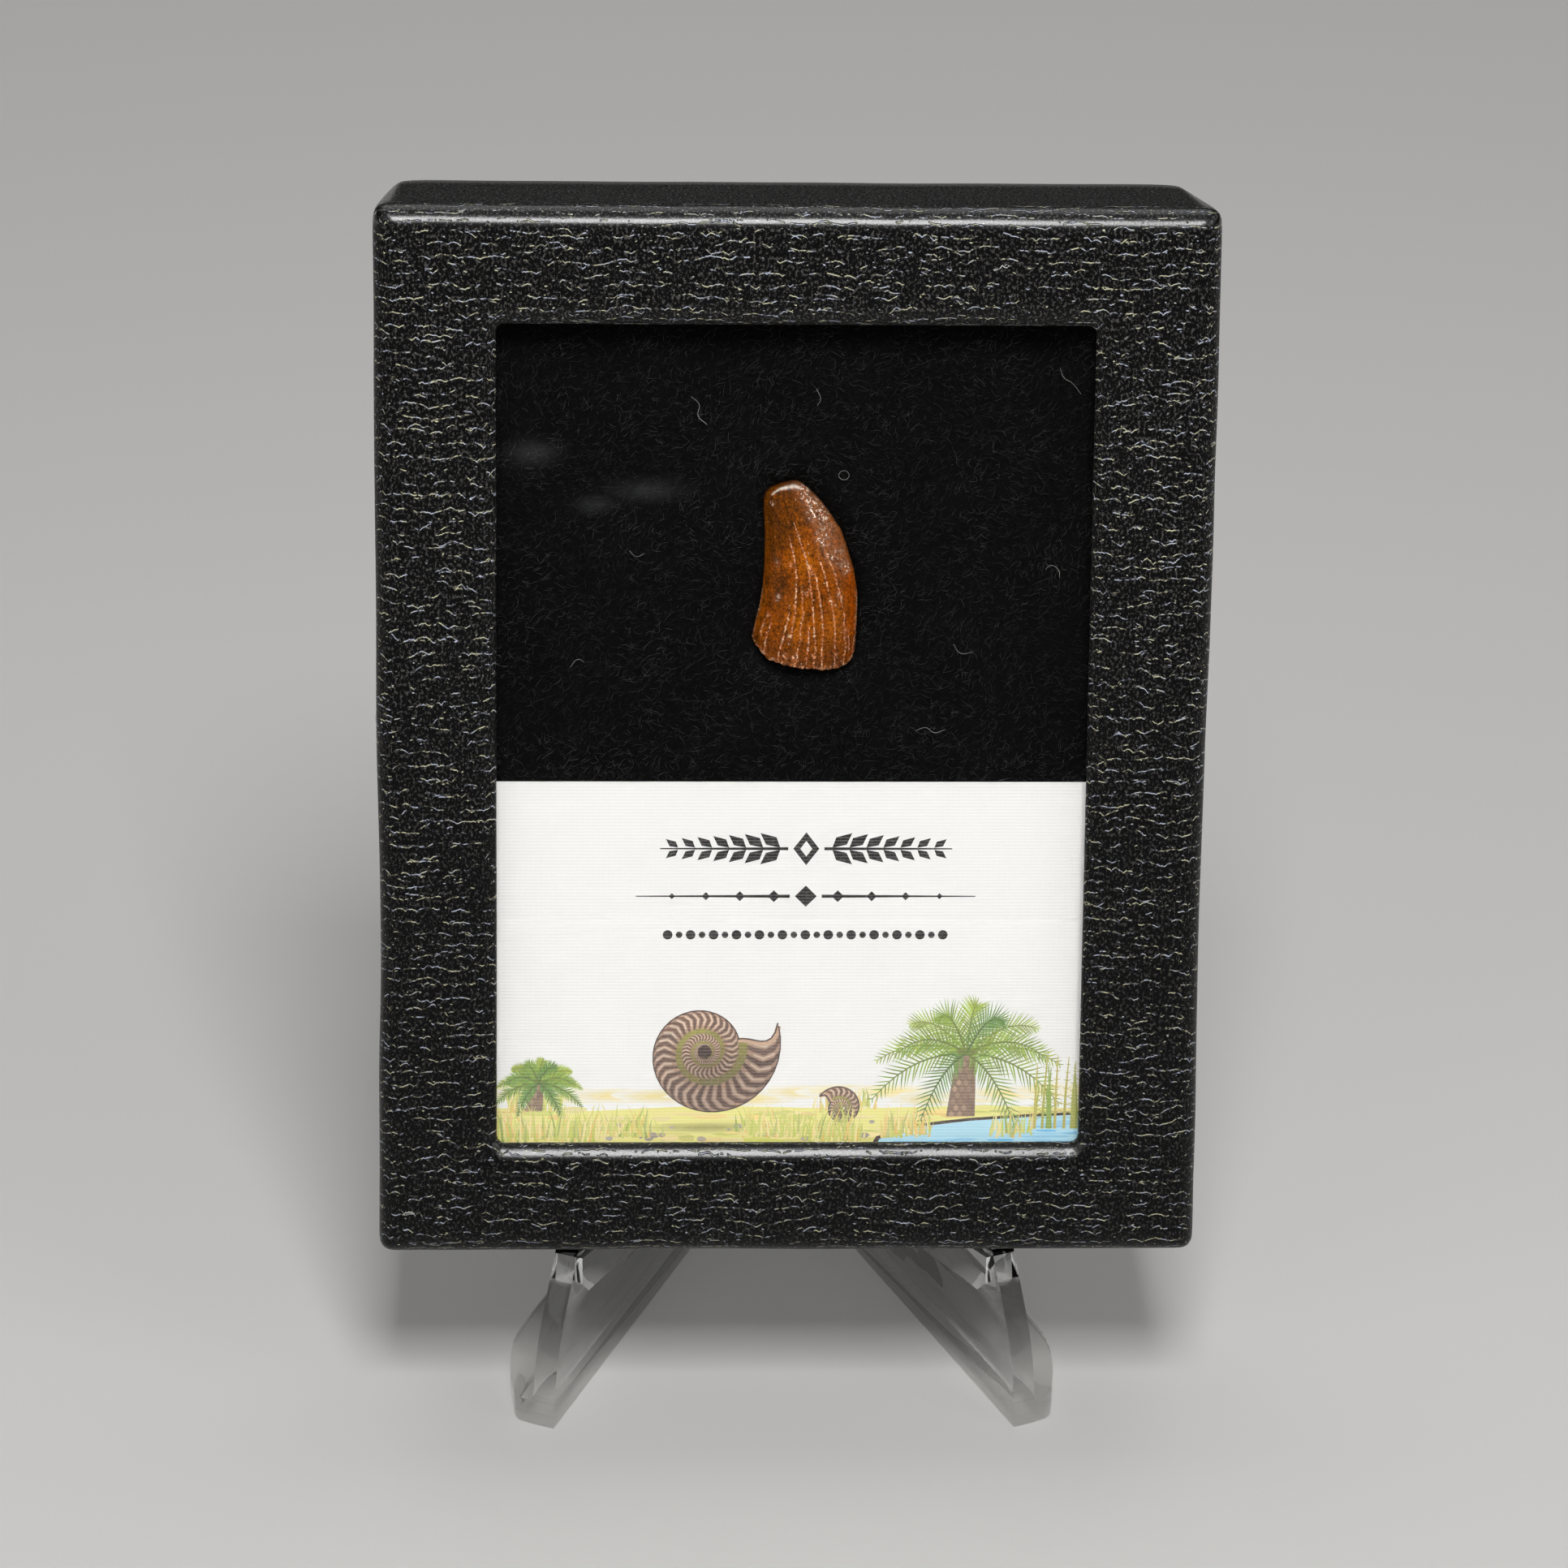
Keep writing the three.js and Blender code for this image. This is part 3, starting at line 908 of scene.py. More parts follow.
@dataclass(frozen=True)
class Bow:
    """Gentle bend of a wall inwards, by a depth about a middle height, and out by its swell elsewhere."""

    depth: float
    middle: float
    reach: float
    swell: float

    def at(self, height: float) -> float:
        """Bend at a height."""
        return self.depth * math.exp(-(((height - self.middle) / self.reach) ** 2)) - self.swell


@dataclass
class CaseLid:
    """Wrapped lid: window frame and four walls, open at the back. Millimetres of the case."""

    width: float = 82.5
    height: float = 106.4
    depth: float = 20.0
    wall: float = 1.5
    edge_round: float = 2.3
    window_half: float = 29.3
    window_bottom: float = 11.5
    window_top: float = 94.7
    window_corner: float = 0.8
    lip_round: float = 1.42
    lip_spread: float = 0.20
    lip_slope: float = 0.34
    lip_reach: float = 1.35
    ear_reach: float = 2.4
    corner_power: float = 4.0
    left_bow: Bow = Bow(0.36, 33.0, 13.0, -0.05)
    right_bow: Bow = Bow(0.36, 34.0, 30.0, 0.22)
    pitch: float = 1.7
    side_pitch: float = 3.0
    lip_pitch: float = 0.45
    lip_margin: float = 2.6
    finish: LeatheretteFinish = LeatheretteFinish()

    def is_window(self, face: bmesh.types.BMFace) -> bool:
        """Whether a front face lies inside the window."""
        middle = face.calc_center_median()
        return middle.y < 0.01 and self.in_window(middle, 0.0)

    def shell(self) -> Shape:
        """Sheet of the lid's outside, with its rounded edges and its window.

        Returns:
            The sheet.
        """
        bm = bmesh.new()
        bmesh.ops.create_cube(bm, size=1.0)
        bmesh.ops.scale(bm, vec=(self.width, self.depth, self.height), verts=bm.verts)
        bmesh.ops.translate(bm, vec=(0, self.depth / 2, self.height / 2), verts=bm.verts)
        back = [face for face in bm.faces if face.calc_center_median().y > self.depth - 0.01]
        bmesh.ops.delete(bm, geom=back, context="FACES")
        round_off(bm, [edge for edge in bm.edges if edge.is_manifold], self.edge_round, 9)
        cuts = [(0, -self.window_half), (0, self.window_half), (2, self.window_bottom), (2, self.window_top)]
        for axis, where in cuts:
            front = [face for face in bm.faces if face.calc_center_median().y < 0.01]
            around = dict.fromkeys(item for face in front for item in (*face.edges, *face.verts))
            cut_across(bm, [*front, *around], axis, where, 0.001)
        bmesh.ops.delete(bm, geom=[face for face in bm.faces if self.is_window(face)], context="FACES")
        return bm

    def in_window(self, co: Vector, slack: float = 0.05) -> bool:
        """Whether a point is in the window, or on its edge."""
        upright = self.window_bottom - slack < co.z < self.window_top + slack
        return upright and abs(co.x) < self.window_half + slack

    def thicken(self, bm: Shape) -> None:
        """Gives the sheet the board's thickness, and rounds the window's corners and its lip.

        Args:
            bm: The sheet, changed in place.
        """
        bmesh.ops.recalc_face_normals(bm, faces=bm.faces)
        bmesh.ops.solidify(bm, geom=bm.faces, thickness=self.wall)
        bmesh.ops.recalc_face_normals(bm, faces=bm.faces)
        framed = [edge for edge in bm.edges if all(self.in_window(vert.co) for vert in edge.verts)]
        through = [edge for edge in framed if abs(edge.verts[0].co.y - edge.verts[1].co.y) > self.wall / 2]
        round_off(bm, through, self.window_corner, 3)
        lip = [
            edge for edge in turned_edges(bm, 60.0)
            if all(self.in_window(vert.co) and vert.co.y < 0.01 for vert in edge.verts)
        ]
        round_off(bm, lip, self.lip_round, 8, clamp_overlap=False)

    def square_corner(self, x: float, z: float, power: float) -> Point:
        """Moves a point of a rounded corner onto a squarer one.

        Args:
            x: Place across, from the middle of the case.
            z: Place up, from the middle of the case.
            power: Power of the new corner's curve, where 2 is round.

        Returns:
            The new place.
        """
        rim = self.edge_round
        inner_x, inner_z = self.width / 2 - rim, self.height / 2 - rim
        a, b = (abs(x) - inner_x) / rim, (abs(z) - inner_z) / rim
        if a <= 0 or b <= 0:
            return x, z
        grow = math.hypot(a, b) / (a ** power + b ** power) ** (1 / power)
        return math.copysign(inner_x + a * grow * rim, x), math.copysign(inner_z + b * grow * rim, z)

    def settle(self, co: Vector) -> Vector:
        """Moves a point as the wrapped board settles: folded corners in front, walls that bow and lean.

        Args:
            co: The point.

        Returns:
            Its new place.
        """
        half, middle = self.width / 2, self.height / 2
        behind = clamp(co.y / self.depth)
        power = self.corner_power + (2.0 - self.corner_power) * behind
        x, z = self.square_corner(co.x, co.z - middle, power)
        across, up = x / half, z / middle
        off = math.hypot((1 - abs(up)) * middle, (1 - abs(across)) * half)
        corner = math.exp(-((off / self.ear_reach) ** 2))
        slack = 0.10 * wander(x * 0.6, z * 0.6, 0.14, 3.0)
        bow = (self.left_bow if x < 0 else self.right_bow).at(co.z)
        x -= math.copysign(abs(across) ** 7, x) * (bow + slack + 0.25 * behind)
        x -= math.copysign(0.5 * corner * behind - 0.12 * corner * (1 - behind), x)
        z -= math.copysign(abs(up) ** 9, z) * (0.06 + slack)
        z -= math.copysign(0.35 * corner * behind, z)
        z -= 0.25 * behind * smooth(up, 0.8, 1.0)
        front = smooth(co.y, 6.0, 0.0)
        y = co.y + front * (0.10 + 0.10 * wander(x, z, 0.05, 1.0) + 0.05 * wander(x, z, 0.23, 5.0))
        beside = max(abs(co.x) - self.window_half, 0.0)
        beyond = max(self.window_bottom - co.z, co.z - self.window_top, 0.0)
        gap = math.hypot(beside, beyond)
        y += self.lip_slope * math.exp(-((gap / self.lip_reach) ** 2)) * max(1 - co.y / self.wall, 0.0)
        spread = self.lip_spread / self.lip_round * math.exp(1 - gap / self.lip_round) * front
        x += math.copysign(spread * beside, co.x)
        z += math.copysign(spread * beyond, co.z - middle)
        y -= front * 0.18 * corner
        return Vector((x, max(y, 0.0), z + middle))

    def map_wrap(self, bm: Shape) -> None:
        """Lays the covering's map over the lid: unrolled from the front face onto each wall.

        Args:
            bm: The lid, changed in place.
        """
        layer = bm.loops.layers.uv.new("wrap")
        for face in bm.faces:
            sideways = abs(face.normal.x) > abs(face.normal.z)
            for loop in face.loops:
                x, y, z = loop.vert.co
                fold = -y if self.in_window(loop.vert.co, 2.0) else y
                over_x = fold * math.copysign(1, x) if sideways else 0.0
                over_z = 0.0 if sideways else fold * math.copysign(1, z - self.height / 2)
                loop[layer].uv = (x + over_x, z + over_z)

    def slice_up(self, bm: Shape) -> None:
        """Cuts the lid so that it can bend, finely where its face slopes down to the window.

        Args:
            bm: The lid, changed in place.
        """
        slice_evenly(bm, 0, -self.width / 2, self.width / 2, self.pitch)
        slice_evenly(bm, 2, 0.0, self.height, self.pitch)
        slice_evenly(bm, 1, self.edge_round, self.depth, self.side_pitch)
        near, far = self.lip_round, self.lip_round + self.lip_margin
        for axis, edge in ((0, self.window_half), (2, self.window_top)):
            slice_evenly(bm, axis, edge + near, edge + far, self.lip_pitch)
        for axis, edge in ((0, -self.window_half), (2, self.window_bottom)):
            slice_evenly(bm, axis, edge - far, edge - near, self.lip_pitch)

    def build(self) -> Shape:
        """Builds the lid, whose rubbed attribute marks its polished edges that face up.

        Returns:
            The shape.
        """
        bm = self.shell()
        self.thicken(bm)
        self.slice_up(bm)
        bm.normal_update()
        self.map_wrap(bm)
        rubbed = bm.verts.layers.float.new("rubbed")
        for vert in bm.verts:
            least, between, _ = sorted(abs(part) for part in vert.normal)
            upper = smooth(vert.normal.z, 0.0, 0.2)
            vert[rubbed] = upper * smooth(between, 0.10, 0.35) * smooth(least, 0.7, 0.4)
            vert.co = self.settle(vert.co)
        bm.normal_update()
        return bm

    def dress(self) -> None:
        """Builds the lid and puts it in the scene."""
        mesh = mesh_of(self.build(), "case_lid_wrapped", PLACE.matrix())
        hand_over(mesh, self.finish.material(), Slot.LEATHERETTE, ["case_lid"])


# ---- tray, pane and pins --------------------------------------------------------------------------------


@dataclass
class RoundedSolid:
    """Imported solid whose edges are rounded. Millimetres."""

    node: str
    piece: str
    slot: Slot
    finish: BoardFinish | ClearFinish
    edge_round: float
    segments: int
    least_angle: float

    def dress(self) -> None:
        """Rounds the solid's edges and puts it in the scene."""
        bm = copied_solid(self.node)
        round_off(bm, turned_edges(bm, self.least_angle), self.edge_round * MM, self.segments)
        hand_over(mesh_of(bm, self.piece), self.finish.material(), self.slot, [self.node])


@dataclass
class CaseTray(RoundedSolid):
    """Board tray that closes the back of the case."""

    node: str = "case_tray"
    piece: str = "case_tray_board"
    slot: Slot = Slot.BOARD
    finish: BoardFinish = BoardFinish()
    edge_round: float = 0.3
    segments: int = 3
    least_angle: float = 60.0


@dataclass
class Easel(RoundedSolid):
    """Clear easel moulded in one piece."""

    node: str = "easel"
    piece: str = "easel_clear"
    slot: Slot = Slot.CLEAR
    finish: ClearFinish = ClearFinish()
    edge_round: float = 0.22
    segments: int = 2
    least_angle: float = 40.0


@dataclass
class GlassPane:
    """Pane behind the window frame."""

    finish: PaneFinish = PaneFinish()

    def dress(self) -> None:
        """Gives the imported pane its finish. Lamps light the case through it."""
        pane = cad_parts["glass_pane"]
        pane.data.materials.clear()
        pane.data.materials.append(self.finish.material())
        pane.visible_shadow = False
        log.info("glass_pane: kept as packed, new finish")


@dataclass
class CasePin:
    """Steel pin through one side wall, with a domed head. Millimetres of the case."""

    side: Side
    up: float = 53.2
    deep: float = 10.5
    seat: float = 40.9
    head_radius: float = 0.85
    head_height: float = 0.62
    shank_radius: float = 0.35
    length: float = 17.0
    point: float = 2.5
    finish: SteelFinish = SteelFinish()

    def profile(self) -> list[Point]:
        """Half outline of the pin, from the top of its head to its point, as radius and height.

        Returns:
            Radius and height of its corners.
        """
        dome = [
            (self.head_radius * math.sin(angle), self.head_height * (0.35 + 0.65 * math.cos(angle)))
            for angle in (math.radians(step) for step in range(0, 91, 15))
        ]
        rim = [(self.head_radius * 0.97, self.head_height * 0.12), (self.head_radius * 0.85, 0.0)]
        shank = [(self.shank_radius, 0.0), (self.shank_radius, self.point - self.length), (0.0, -self.length)]
        return [*dome, *rim, *shank]

    def dress(self) -> None:
        """Turns the pin on a lathe and puts it in the scene."""
        bm = bmesh.new()
        verts = [bm.verts.new((radius, 0.0, height)) for radius, height in self.profile()]
        edges = [bm.edges.new(pair) for pair in zip(verts, verts[1:])]
        lathe = {"cent": (0, 0, 0), "axis": (0, 0, 1), "angle": math.tau, "steps": 32, "use_merge": True}
        bmesh.ops.spin(bm, geom=[*verts, *edges], **lathe)
        bmesh.ops.remove_doubles(bm, verts=bm.verts, dist=1e-4)
        bmesh.ops.recalc_face_normals(bm, faces=bm.faces)
        sign = self.side.value
        turn = Matrix.Rotation(sign * math.pi / 2, 4, "Y")
        seat = Matrix.Translation((sign * self.seat, self.deep, self.up))
        name = f"pin_{self.side.name.lower()}"
        mesh = mesh_of(bm, f"{name}_steel", PLACE.matrix() @ seat @ turn)
        hand_over(mesh, self.finish.material(), Slot.STEEL, [name])


# ---- tooth ----------------------------------------------------------------------------------------------


@dataclass
class Tooth:
    """Blunt recurved tooth, broken at its base. Millimetres of the case.

    The sides list height and place across, and the half lists height and half thickness. The base line, the
    ridges and the gleam list places on the case's face, and each fleck is a place and a size.
    """

    left: Sequence[Point] = (
        (59.0, -4.0), (62.7, -3.97), (64.2, -3.66), (65.9, -3.24), (67.9, -2.93), (69.5, -2.82),
        (71.5, -2.79), (73.4, -2.80), (75.1, -2.90), (76.6, -2.92), (77.3, -2.80), (77.8, -2.36),
        (78.1, -1.76), (78.3, -1.15), (78.43, -0.6), (78.5, -0.1),
    )
    right: Sequence[Point] = (
        (59.0, 6.3), (61.3, 6.34), (63.25, 6.48), (65.6, 6.53), (67.2, 6.50), (69.5, 6.15), (71.5, 5.52),
        (73.4, 4.90), (75.1, 3.78), (76.3, 2.90), (77.4, 1.92), (78.0, 1.22), (78.3, 0.85), (78.45, 0.5),
        (78.5, 0.1),
    )
    half: Sequence[Point] = (
        (59.0, 2.35), (61.8, 2.62), (64.2, 2.75), (67.4, 2.8), (71.5, 2.62), (75.1, 2.2), (77.0, 1.98),
        (77.75, 1.86), (78.05, 1.70), (78.2, 1.48), (78.32, 1.18), (78.42, 0.78), (78.5, 0.25),
    )
    base_line: Sequence[Point] = (
        (-4.0, 62.75), (-3.54, 61.85), (-2.53, 60.75), (-0.99, 60.22), (0.38, 59.87), (1.68, 59.77),
        (3.78, 59.70), (4.75, 59.80), (5.6, 60.12), (6.1, 60.75), (6.34, 61.6),
    )
    ridges: Sequence[Sequence[Point]] = (
        ((-0.04, 74.8), (0.24, 74.0), (0.51, 73.2), (0.92, 72.0), (1.52, 70.2), (1.61, 68.9), (1.9, 66.9),
         (2.0, 65.6), (2.2, 63.1), (2.3, 61.7), (2.1, 60.4)),
        ((-0.43, 73.4), (-0.02, 71.6), (0.17, 70.6), (0.31, 69.0), (0.23, 66.3), (0.1, 65.2), (-0.14, 63.5)),
        ((-0.27, 66.3), (-0.61, 64.4), (-0.82, 63.5), (-1.09, 62.2), (-1.43, 60.7)),
        ((0.88, 68.4), (0.9, 66.7), (1.03, 65.4), (0.76, 63.9), (0.84, 62.9), (0.57, 61.9), (0.24, 60.1)),
        ((1.95, 70.4), (2.36, 68.6), (2.74, 66.6), (2.95, 64.3), (3.04, 63.5), (2.91, 61.8), (2.97, 60.3)),
        ((2.31, 71.6), (2.67, 70.7), (3.33, 68.7), (3.79, 66.7), (4.21, 64.4), (4.27, 62.5), (4.23, 60.3)),
        ((3.35, 71.5), (4.11, 69.6), (4.71, 67.3), (4.94, 66.1), (5.18, 65.2), (5.19, 63.5), (5.32, 61.8),
         (5.17, 60.3)),
        ((6.1, 67.7), (6.46, 66.7), (6.39, 65.4), (6.32, 62.9), (6.0, 61.0)),
        ((5.62, 63.9), (5.67, 62.8), (5.64, 62.0)),
        ((1.55, 64.5), (1.63, 63.6), (1.57, 62.8), (1.42, 61.0)),
        ((-1.98, 65.0), (-2.26, 64.0), (-2.54, 63.1), (-2.67, 62.1), (-2.81, 61.5)),
        ((-2.61, 64.9), (-2.88, 64.2), (-3.08, 63.4)),
    )
    flecks: Sequence[tuple[Point, float]] = (
        ((1.70, 70.1), 0.20), ((1.95, 69.6), 0.17), ((-0.25, 70.35), 0.15), ((1.35, 67.55), 0.15),
        ((1.55, 67.9), 0.10), ((3.70, 66.8), 0.17), ((4.20, 66.3), 0.13), ((-0.25, 63.1), 0.20),
        ((5.25, 63.6), 0.18), ((-0.75, 61.1), 0.20), ((0.10, 61.0), 0.16), ((-2.35, 65.1), 0.15),
        ((2.05, 61.2), 0.15), ((4.30, 61.2), 0.16),
    )
    # Patches of painted sheen and sparkle, which also roughen the enamel.
    sheen_patches: Sequence[Patch] = (
        ((1.0, 77.5), (0.45, 0.6), 0.9), ((1.7, 76.5), (0.7, 0.8), 0.45), ((3.15, 75.35), (0.45, 0.5), 1.0),
        ((2.7, 72.9), (0.65, 0.45), 0.85), ((1.8, 75.3), (0.45, 0.4), 0.55),
        ((-2.05, 76.5), (0.25, 0.3), 0.9), ((5.3, 69.8), (0.4, 0.5), 0.8), ((-1.5, 67.0), (0.4, 0.45), 0.6),
        ((3.7, 71.3), (0.45, 0.4), 0.6), ((4.6, 67.3), (0.4, 0.5), 0.5), ((-1.6, 70.4), (0.4, 0.6), 0.35),
    )
    # Line of the painted highlight along the tip's rim.
    gleam: Sequence[Point] = (
        (-2.13, 77.30), (-1.8, 77.60), (-1.4, 77.86), (-0.92, 77.98), (-0.44, 78.08), (0.13, 78.16),
        (0.45, 78.02),
    )
    amber: Colour = (0.225, 0.052, 0.0010)
    umber: Colour = (0.118, 0.031, 0.0010)
    gold: Colour = (0.370, 0.100, 0.0022)
    russet: Colour = (0.340, 0.062, 0.0010)
    dusk: Colour = (0.110, 0.032, 0.0050)
    # Painted sheen tint for the band at the upper right.
    mauve: Colour = (0.230, 0.085, 0.032)
    golden: Sequence[Patch] = (
        ((1.3, 71.0), (1.2, 1.7), 0.75), ((0.5, 64.6), (1.0, 2.2), 0.8), ((2.9, 63.2), (1.4, 1.6), 0.5),
        ((4.5, 64.8), (0.8, 1.6), 0.65), ((-0.6, 70.6), (0.5, 0.7), 0.5),
    )
    dusky: Sequence[Patch] = (
        ((-1.4, 68.0), (1.0, 1.9), 0.9), ((-1.7, 71.0), (0.5, 0.8), 0.6), ((0.6, 67.9), (0.5, 0.6), 0.5),
        ((5.0, 68.2), (0.5, 0.4), 0.6), ((-0.9, 63.4), (0.8, 0.7), 0.5),
    )
    tip: float = 78.5
    thickest: float = 2.8
    front: float = 3.75
    lens_power: float = 1.25
    tip_power: float = 0.55
    around: int = 352
    rings: int = 238
    crowding: float = 0.42
    cap_share: float = 0.07
    crack_level: float = 70.2
    crack_step: float = 0.035
    chip_height: float = 0.02
    ridge_height: float = 0.095
    ridge_width: float = 0.062
    finish: EnamelFinish = EnamelFinish()

    def measure(self, points: Sequence[Point]) -> Callable[[float], float]:
        """Smooth function through listed points.

        Args:
            points: Argument and value, in rising order of the argument.

        Returns:
            The function.
        """
        grid = np.linspace(points[0][0], points[-1][0], 800)
        values = np.interp(grid, [p[0] for p in points], [p[1] for p in points])
        reach = 5
        kernel = np.hanning(2 * reach + 1)
        soft = np.convolve(np.pad(values, reach, mode="edge"), kernel / kernel.sum(), mode="valid")
        return lambda where: float(np.interp(where, grid, soft))

    def ridge_field(self, x: float, z: float) -> float:
        """Strength of the nearest ridge at a place on the face.

        Args:
            x: Place across.
            z: Place up.

        Returns:
            The strength, about 1 on a full crest.
        """
        best = 0.0
        for index, line in enumerate(self.ridges):
            top, foot = line[0][1], line[-1][1]
            if not foot - 0.8 < z < top + 0.3:
                continue
            heights = [point[1] for point in reversed(line)]
            middle = np.interp(z, heights, [point[0] for point in reversed(line)])
            middle += 0.09 * wander(z, index * 3.1, 2.4, 8.0) + 0.11 * wander(z, index * 1.7, 6.0, 9.0)
            fade = smooth(z, top + 0.2, top - 1.2) * smooth(z, foot - 0.8, foot)
            width = self.ridge_width * (1.0 + 0.7 * wander(z, index * 5.7, 2.6, 4.0))
            strength = 0.66 + 0.8 * wander(z, index * 11.0, 1.1, 6.0) + 1.6 * wander(z, index * 2.0, 5.0, 7.0)
            best = max(best, fade * strength * math.exp(-(((x - middle) / width) ** 2)))
        return best

    def fleck_field(self, x: float, z: float) -> float:
        """Strength of the nearest pale chip at a place on the face, about 1 in a chip's middle."""
        away = (math.hypot(x - at[0], 0.75 * (z - at[1])) / size for at, size in self.flecks)
        return math.exp(-(min(away) ** 2)) * (0.8 + 1.2 * wander(x, z, 4.2, 17.0))

    def gleam_field(self, x: float, z: float) -> float:
        """Strength of the painted highlight along the rim just inside the tip.

        Args:
            x: Place across.
            z: Place up.

        Returns:
            The strength, about 1 on the rim's middle line.
        """
        if z < 76.8 or x > 1.0:
            return 0.0
        places = np.array(self.gleam)
        away = distance_to(np.array([(x, z)]), places[:-1], places[1:])[0]
        width = 0.07 + 0.06 * smooth(x, -2.2, -0.3)
        return math.exp(-((away / width) ** 2)) * (0.9 + 0.5 * wander(x, z, 3.0, 19.0))

    def sheen_band(self, x: float, z: float, cloud: float) -> float:
        """How far a place lies in the band of painted sheen at the upper right, from 0 to 1, with a cloud at
        its edge.
        """
        return smooth(x - (1.5 - 0.42 * (z - 74.5)) + 0.7 * cloud, -0.5, 0.8) * smooth(z, 67.5, 71.5)

    def stain(self, x: float, z: float, from_left: float, from_right: float) -> Colour:
        """Colour of the enamel at a place on the face.

        Args:
            x: Place across.
            z: Place up.
            from_left: Distance across from the tooth's left side.
            from_right: Distance across from its right side.

        Returns:
            The colour.
        """
        cloud, fleck = wander(x, z, 0.45, 11.0), wander(x, z, 1.9, 14.0)
        uneven = 1 + 0.8 * fleck
        glow, grey = patchwork(x, z, self.golden), patchwork(x, z, self.dusky)
        band = self.sheen_band(x, z, cloud)
        layers = (
            (self.umber, smooth(z - 0.9 * x + 0.9 * cloud + 0.5 * fleck, 71.8, 74.4)),
            (self.gold, clamp(glow * uneven)),
            (self.dusk, clamp(grey * uneven)),
            # Painted sheen in the band at the upper right.
            (self.mauve, clamp(0.75 * band * (1 + 0.9 * fleck))),
            (self.russet, 0.8 * smooth(x + 0.3 * cloud, 4.9, 6.1) * smooth(z, 74.0, 70.0)),
            # Painted glow of light through the thin sides near the tip.
            (self.gold, 0.55 * smooth(from_left, 0.55, 0.1) * smooth(z, 78.0, 76.0)),
            (self.gold, 0.50 * smooth(from_right, 0.40, 0.1) * smooth(z, 77.8, 76.5)),
            # Darker towards the base.
            ((0.0, 0.0, 0.0), 0.24 * smooth(z, 64.0, 62.0) + 0.22 * smooth(z, 61.6, 60.0)),
        )
        colour = self.amber
        for tone, share in layers:
            colour = blend(colour, tone, share)
        return colour

    def pits_and_sheen_at(self, x: float, z: float) -> float:
        """How far a place holds pits and painted sheen, from 0 to 1, most in patches at the upper right."""
        cloud = wander(x, z, 0.55, 33.0)
        return clamp(0.20 * self.sheen_band(x, z, cloud) * (1 + 1.6 * cloud) + patchwork(x, z, self.sheen_patches))

    def shape(self, bm: Shape) -> None:
        """Draws a ball out into the tooth and stores the attributes that its finish reads.

        Args:
            bm: The ball, changed in place.
        """
        left, right, half = self.measure(self.left), self.measure(self.right), self.measure(self.half)
        base = self.measure(self.base_line)
        sides = [([p[0] for p in side], [p[1] for p in side]) for side in (self.left, self.right)]
        low = min(point[1] for point in self.base_line)
        depth = self.front + self.thickest
        layers = bm.verts.layers
        tint, strand = layers.float_color.new("tint"), layers.float_vector.new("strand")
        # The mask of pits also marks the painted sheen, and the gleam paints a highlight.
        crest, pitted, gleam = (layers.float.new(name) for name in ("crest", "pitted", "gleam"))
        for vert in bm.verts:
            turn = math.atan2(vert.co.x, -vert.co.y)
            turn -= self.crowding * math.sin(turn)
            pole = math.hypot(vert.co.x, vert.co.y) < 1e-6
            across, bulge = (0.0, 0.0) if pole else (math.sin(turn), -math.cos(turn))
            facing = bulge < 0
            share = 1 - math.acos(min(max(vert.co.z, -1), 1)) / math.pi
            cap = min(share / self.cap_share, 1.0)
            along = max(share - self.cap_share, 0.0) / (1 - self.cap_share)
            eased = 1 - (1 - along) ** 1.6
            level = low + (self.tip - low) * eased
            guess = (left(low) + right(low)) / 2 + across * (right(low) - left(low)) / 2
            broken = 0.16 * abs(wander(guess, 0.0, 1.3, 9.0)) + 0.14 * wander(guess, 1.0, 3.2, 9.5)
            level += (1 - eased) ** 4 * (base(guess) + broken - low)
            middle, reach = (left(level) + right(level)) / 2, (right(level) - left(level)) / 2
            x = middle + across * reach * cap
            power = self.lens_power + (self.tip_power - self.lens_power) * smooth(level, 75.0, 77.6)
            lens = math.copysign(abs(bulge) ** power, bulge)
            edge = 1 - across * across
            ridge = self.ridge_field(x, level) if facing else 0.6 * self.ridge_field(3.04 - 0.9 * x, level)
            chip = self.fleck_field(x, level) if facing else 0.0
            crack = level - self.crack_level - 0.10 * wander(x, 0.0, 2.1, 25.0)
            crack -= 0.05 * wander(x, 0.0, 6.0, 26.0)
            held = smooth(x, -0.4, 0.0) * smooth(x, 2.3, 1.9) if facing else 0.0
            lift = 0.05 * wander(x, level, 0.55, 20.0) * edge + 0.014 * wander(x, level, 2.6, 21.0)
            lift += self.ridge_height * ridge * min(edge * 3, 1.0) + self.chip_height * chip
            lift += self.crack_step * smooth(crack, 0.06, -0.06) * smooth(crack, -1.6, -0.2) * held
            y = depth + cap * lens * half(level) * (1 + 0.04 * (1 - cap)) + math.copysign(lift * cap, bulge)
            notch = 0.05 * max(math.sin(level * 16.0 + 3 * wander(level, 0.0, 1.0, 30.0)), 0.0)
            notch += 0.16 * max(wander(level, across, 2.2, 38.0), 0.0) * smooth(level, 65.5, 62.0)
            x -= math.copysign(notch, across) * (1 - edge) ** 6 * smooth(level, 76.5, 74.0) * cap
            sunk = (1 - cap) * 0.5 + 0.18 * (1 - cap) * wander(x, y, 0.8, 31.0)
            vert.co = (x, y, level + sunk)
            from_left, from_right = (abs(x - float(np.interp(level, *side))) for side in sides)
            rim = smooth(edge, 0.075, 0.02) * smooth(level, 69.0, 66.5)
            rim *= max(wander(x, level, 2.6, 35.0) + 0.25, 0.0)
            hem = smooth(level - base(x), 0.60, 0.10) * max(wander(x, level, 4.4, 37.0) + 0.10, 0.0)
            hem *= 1.0 + 1.4 * smooth(x, 0.0, -2.0)
            shown = max(ridge * (1.4 if facing else 0.98), 1.3 * rim, 1.5 * hem, chip, 0.0)
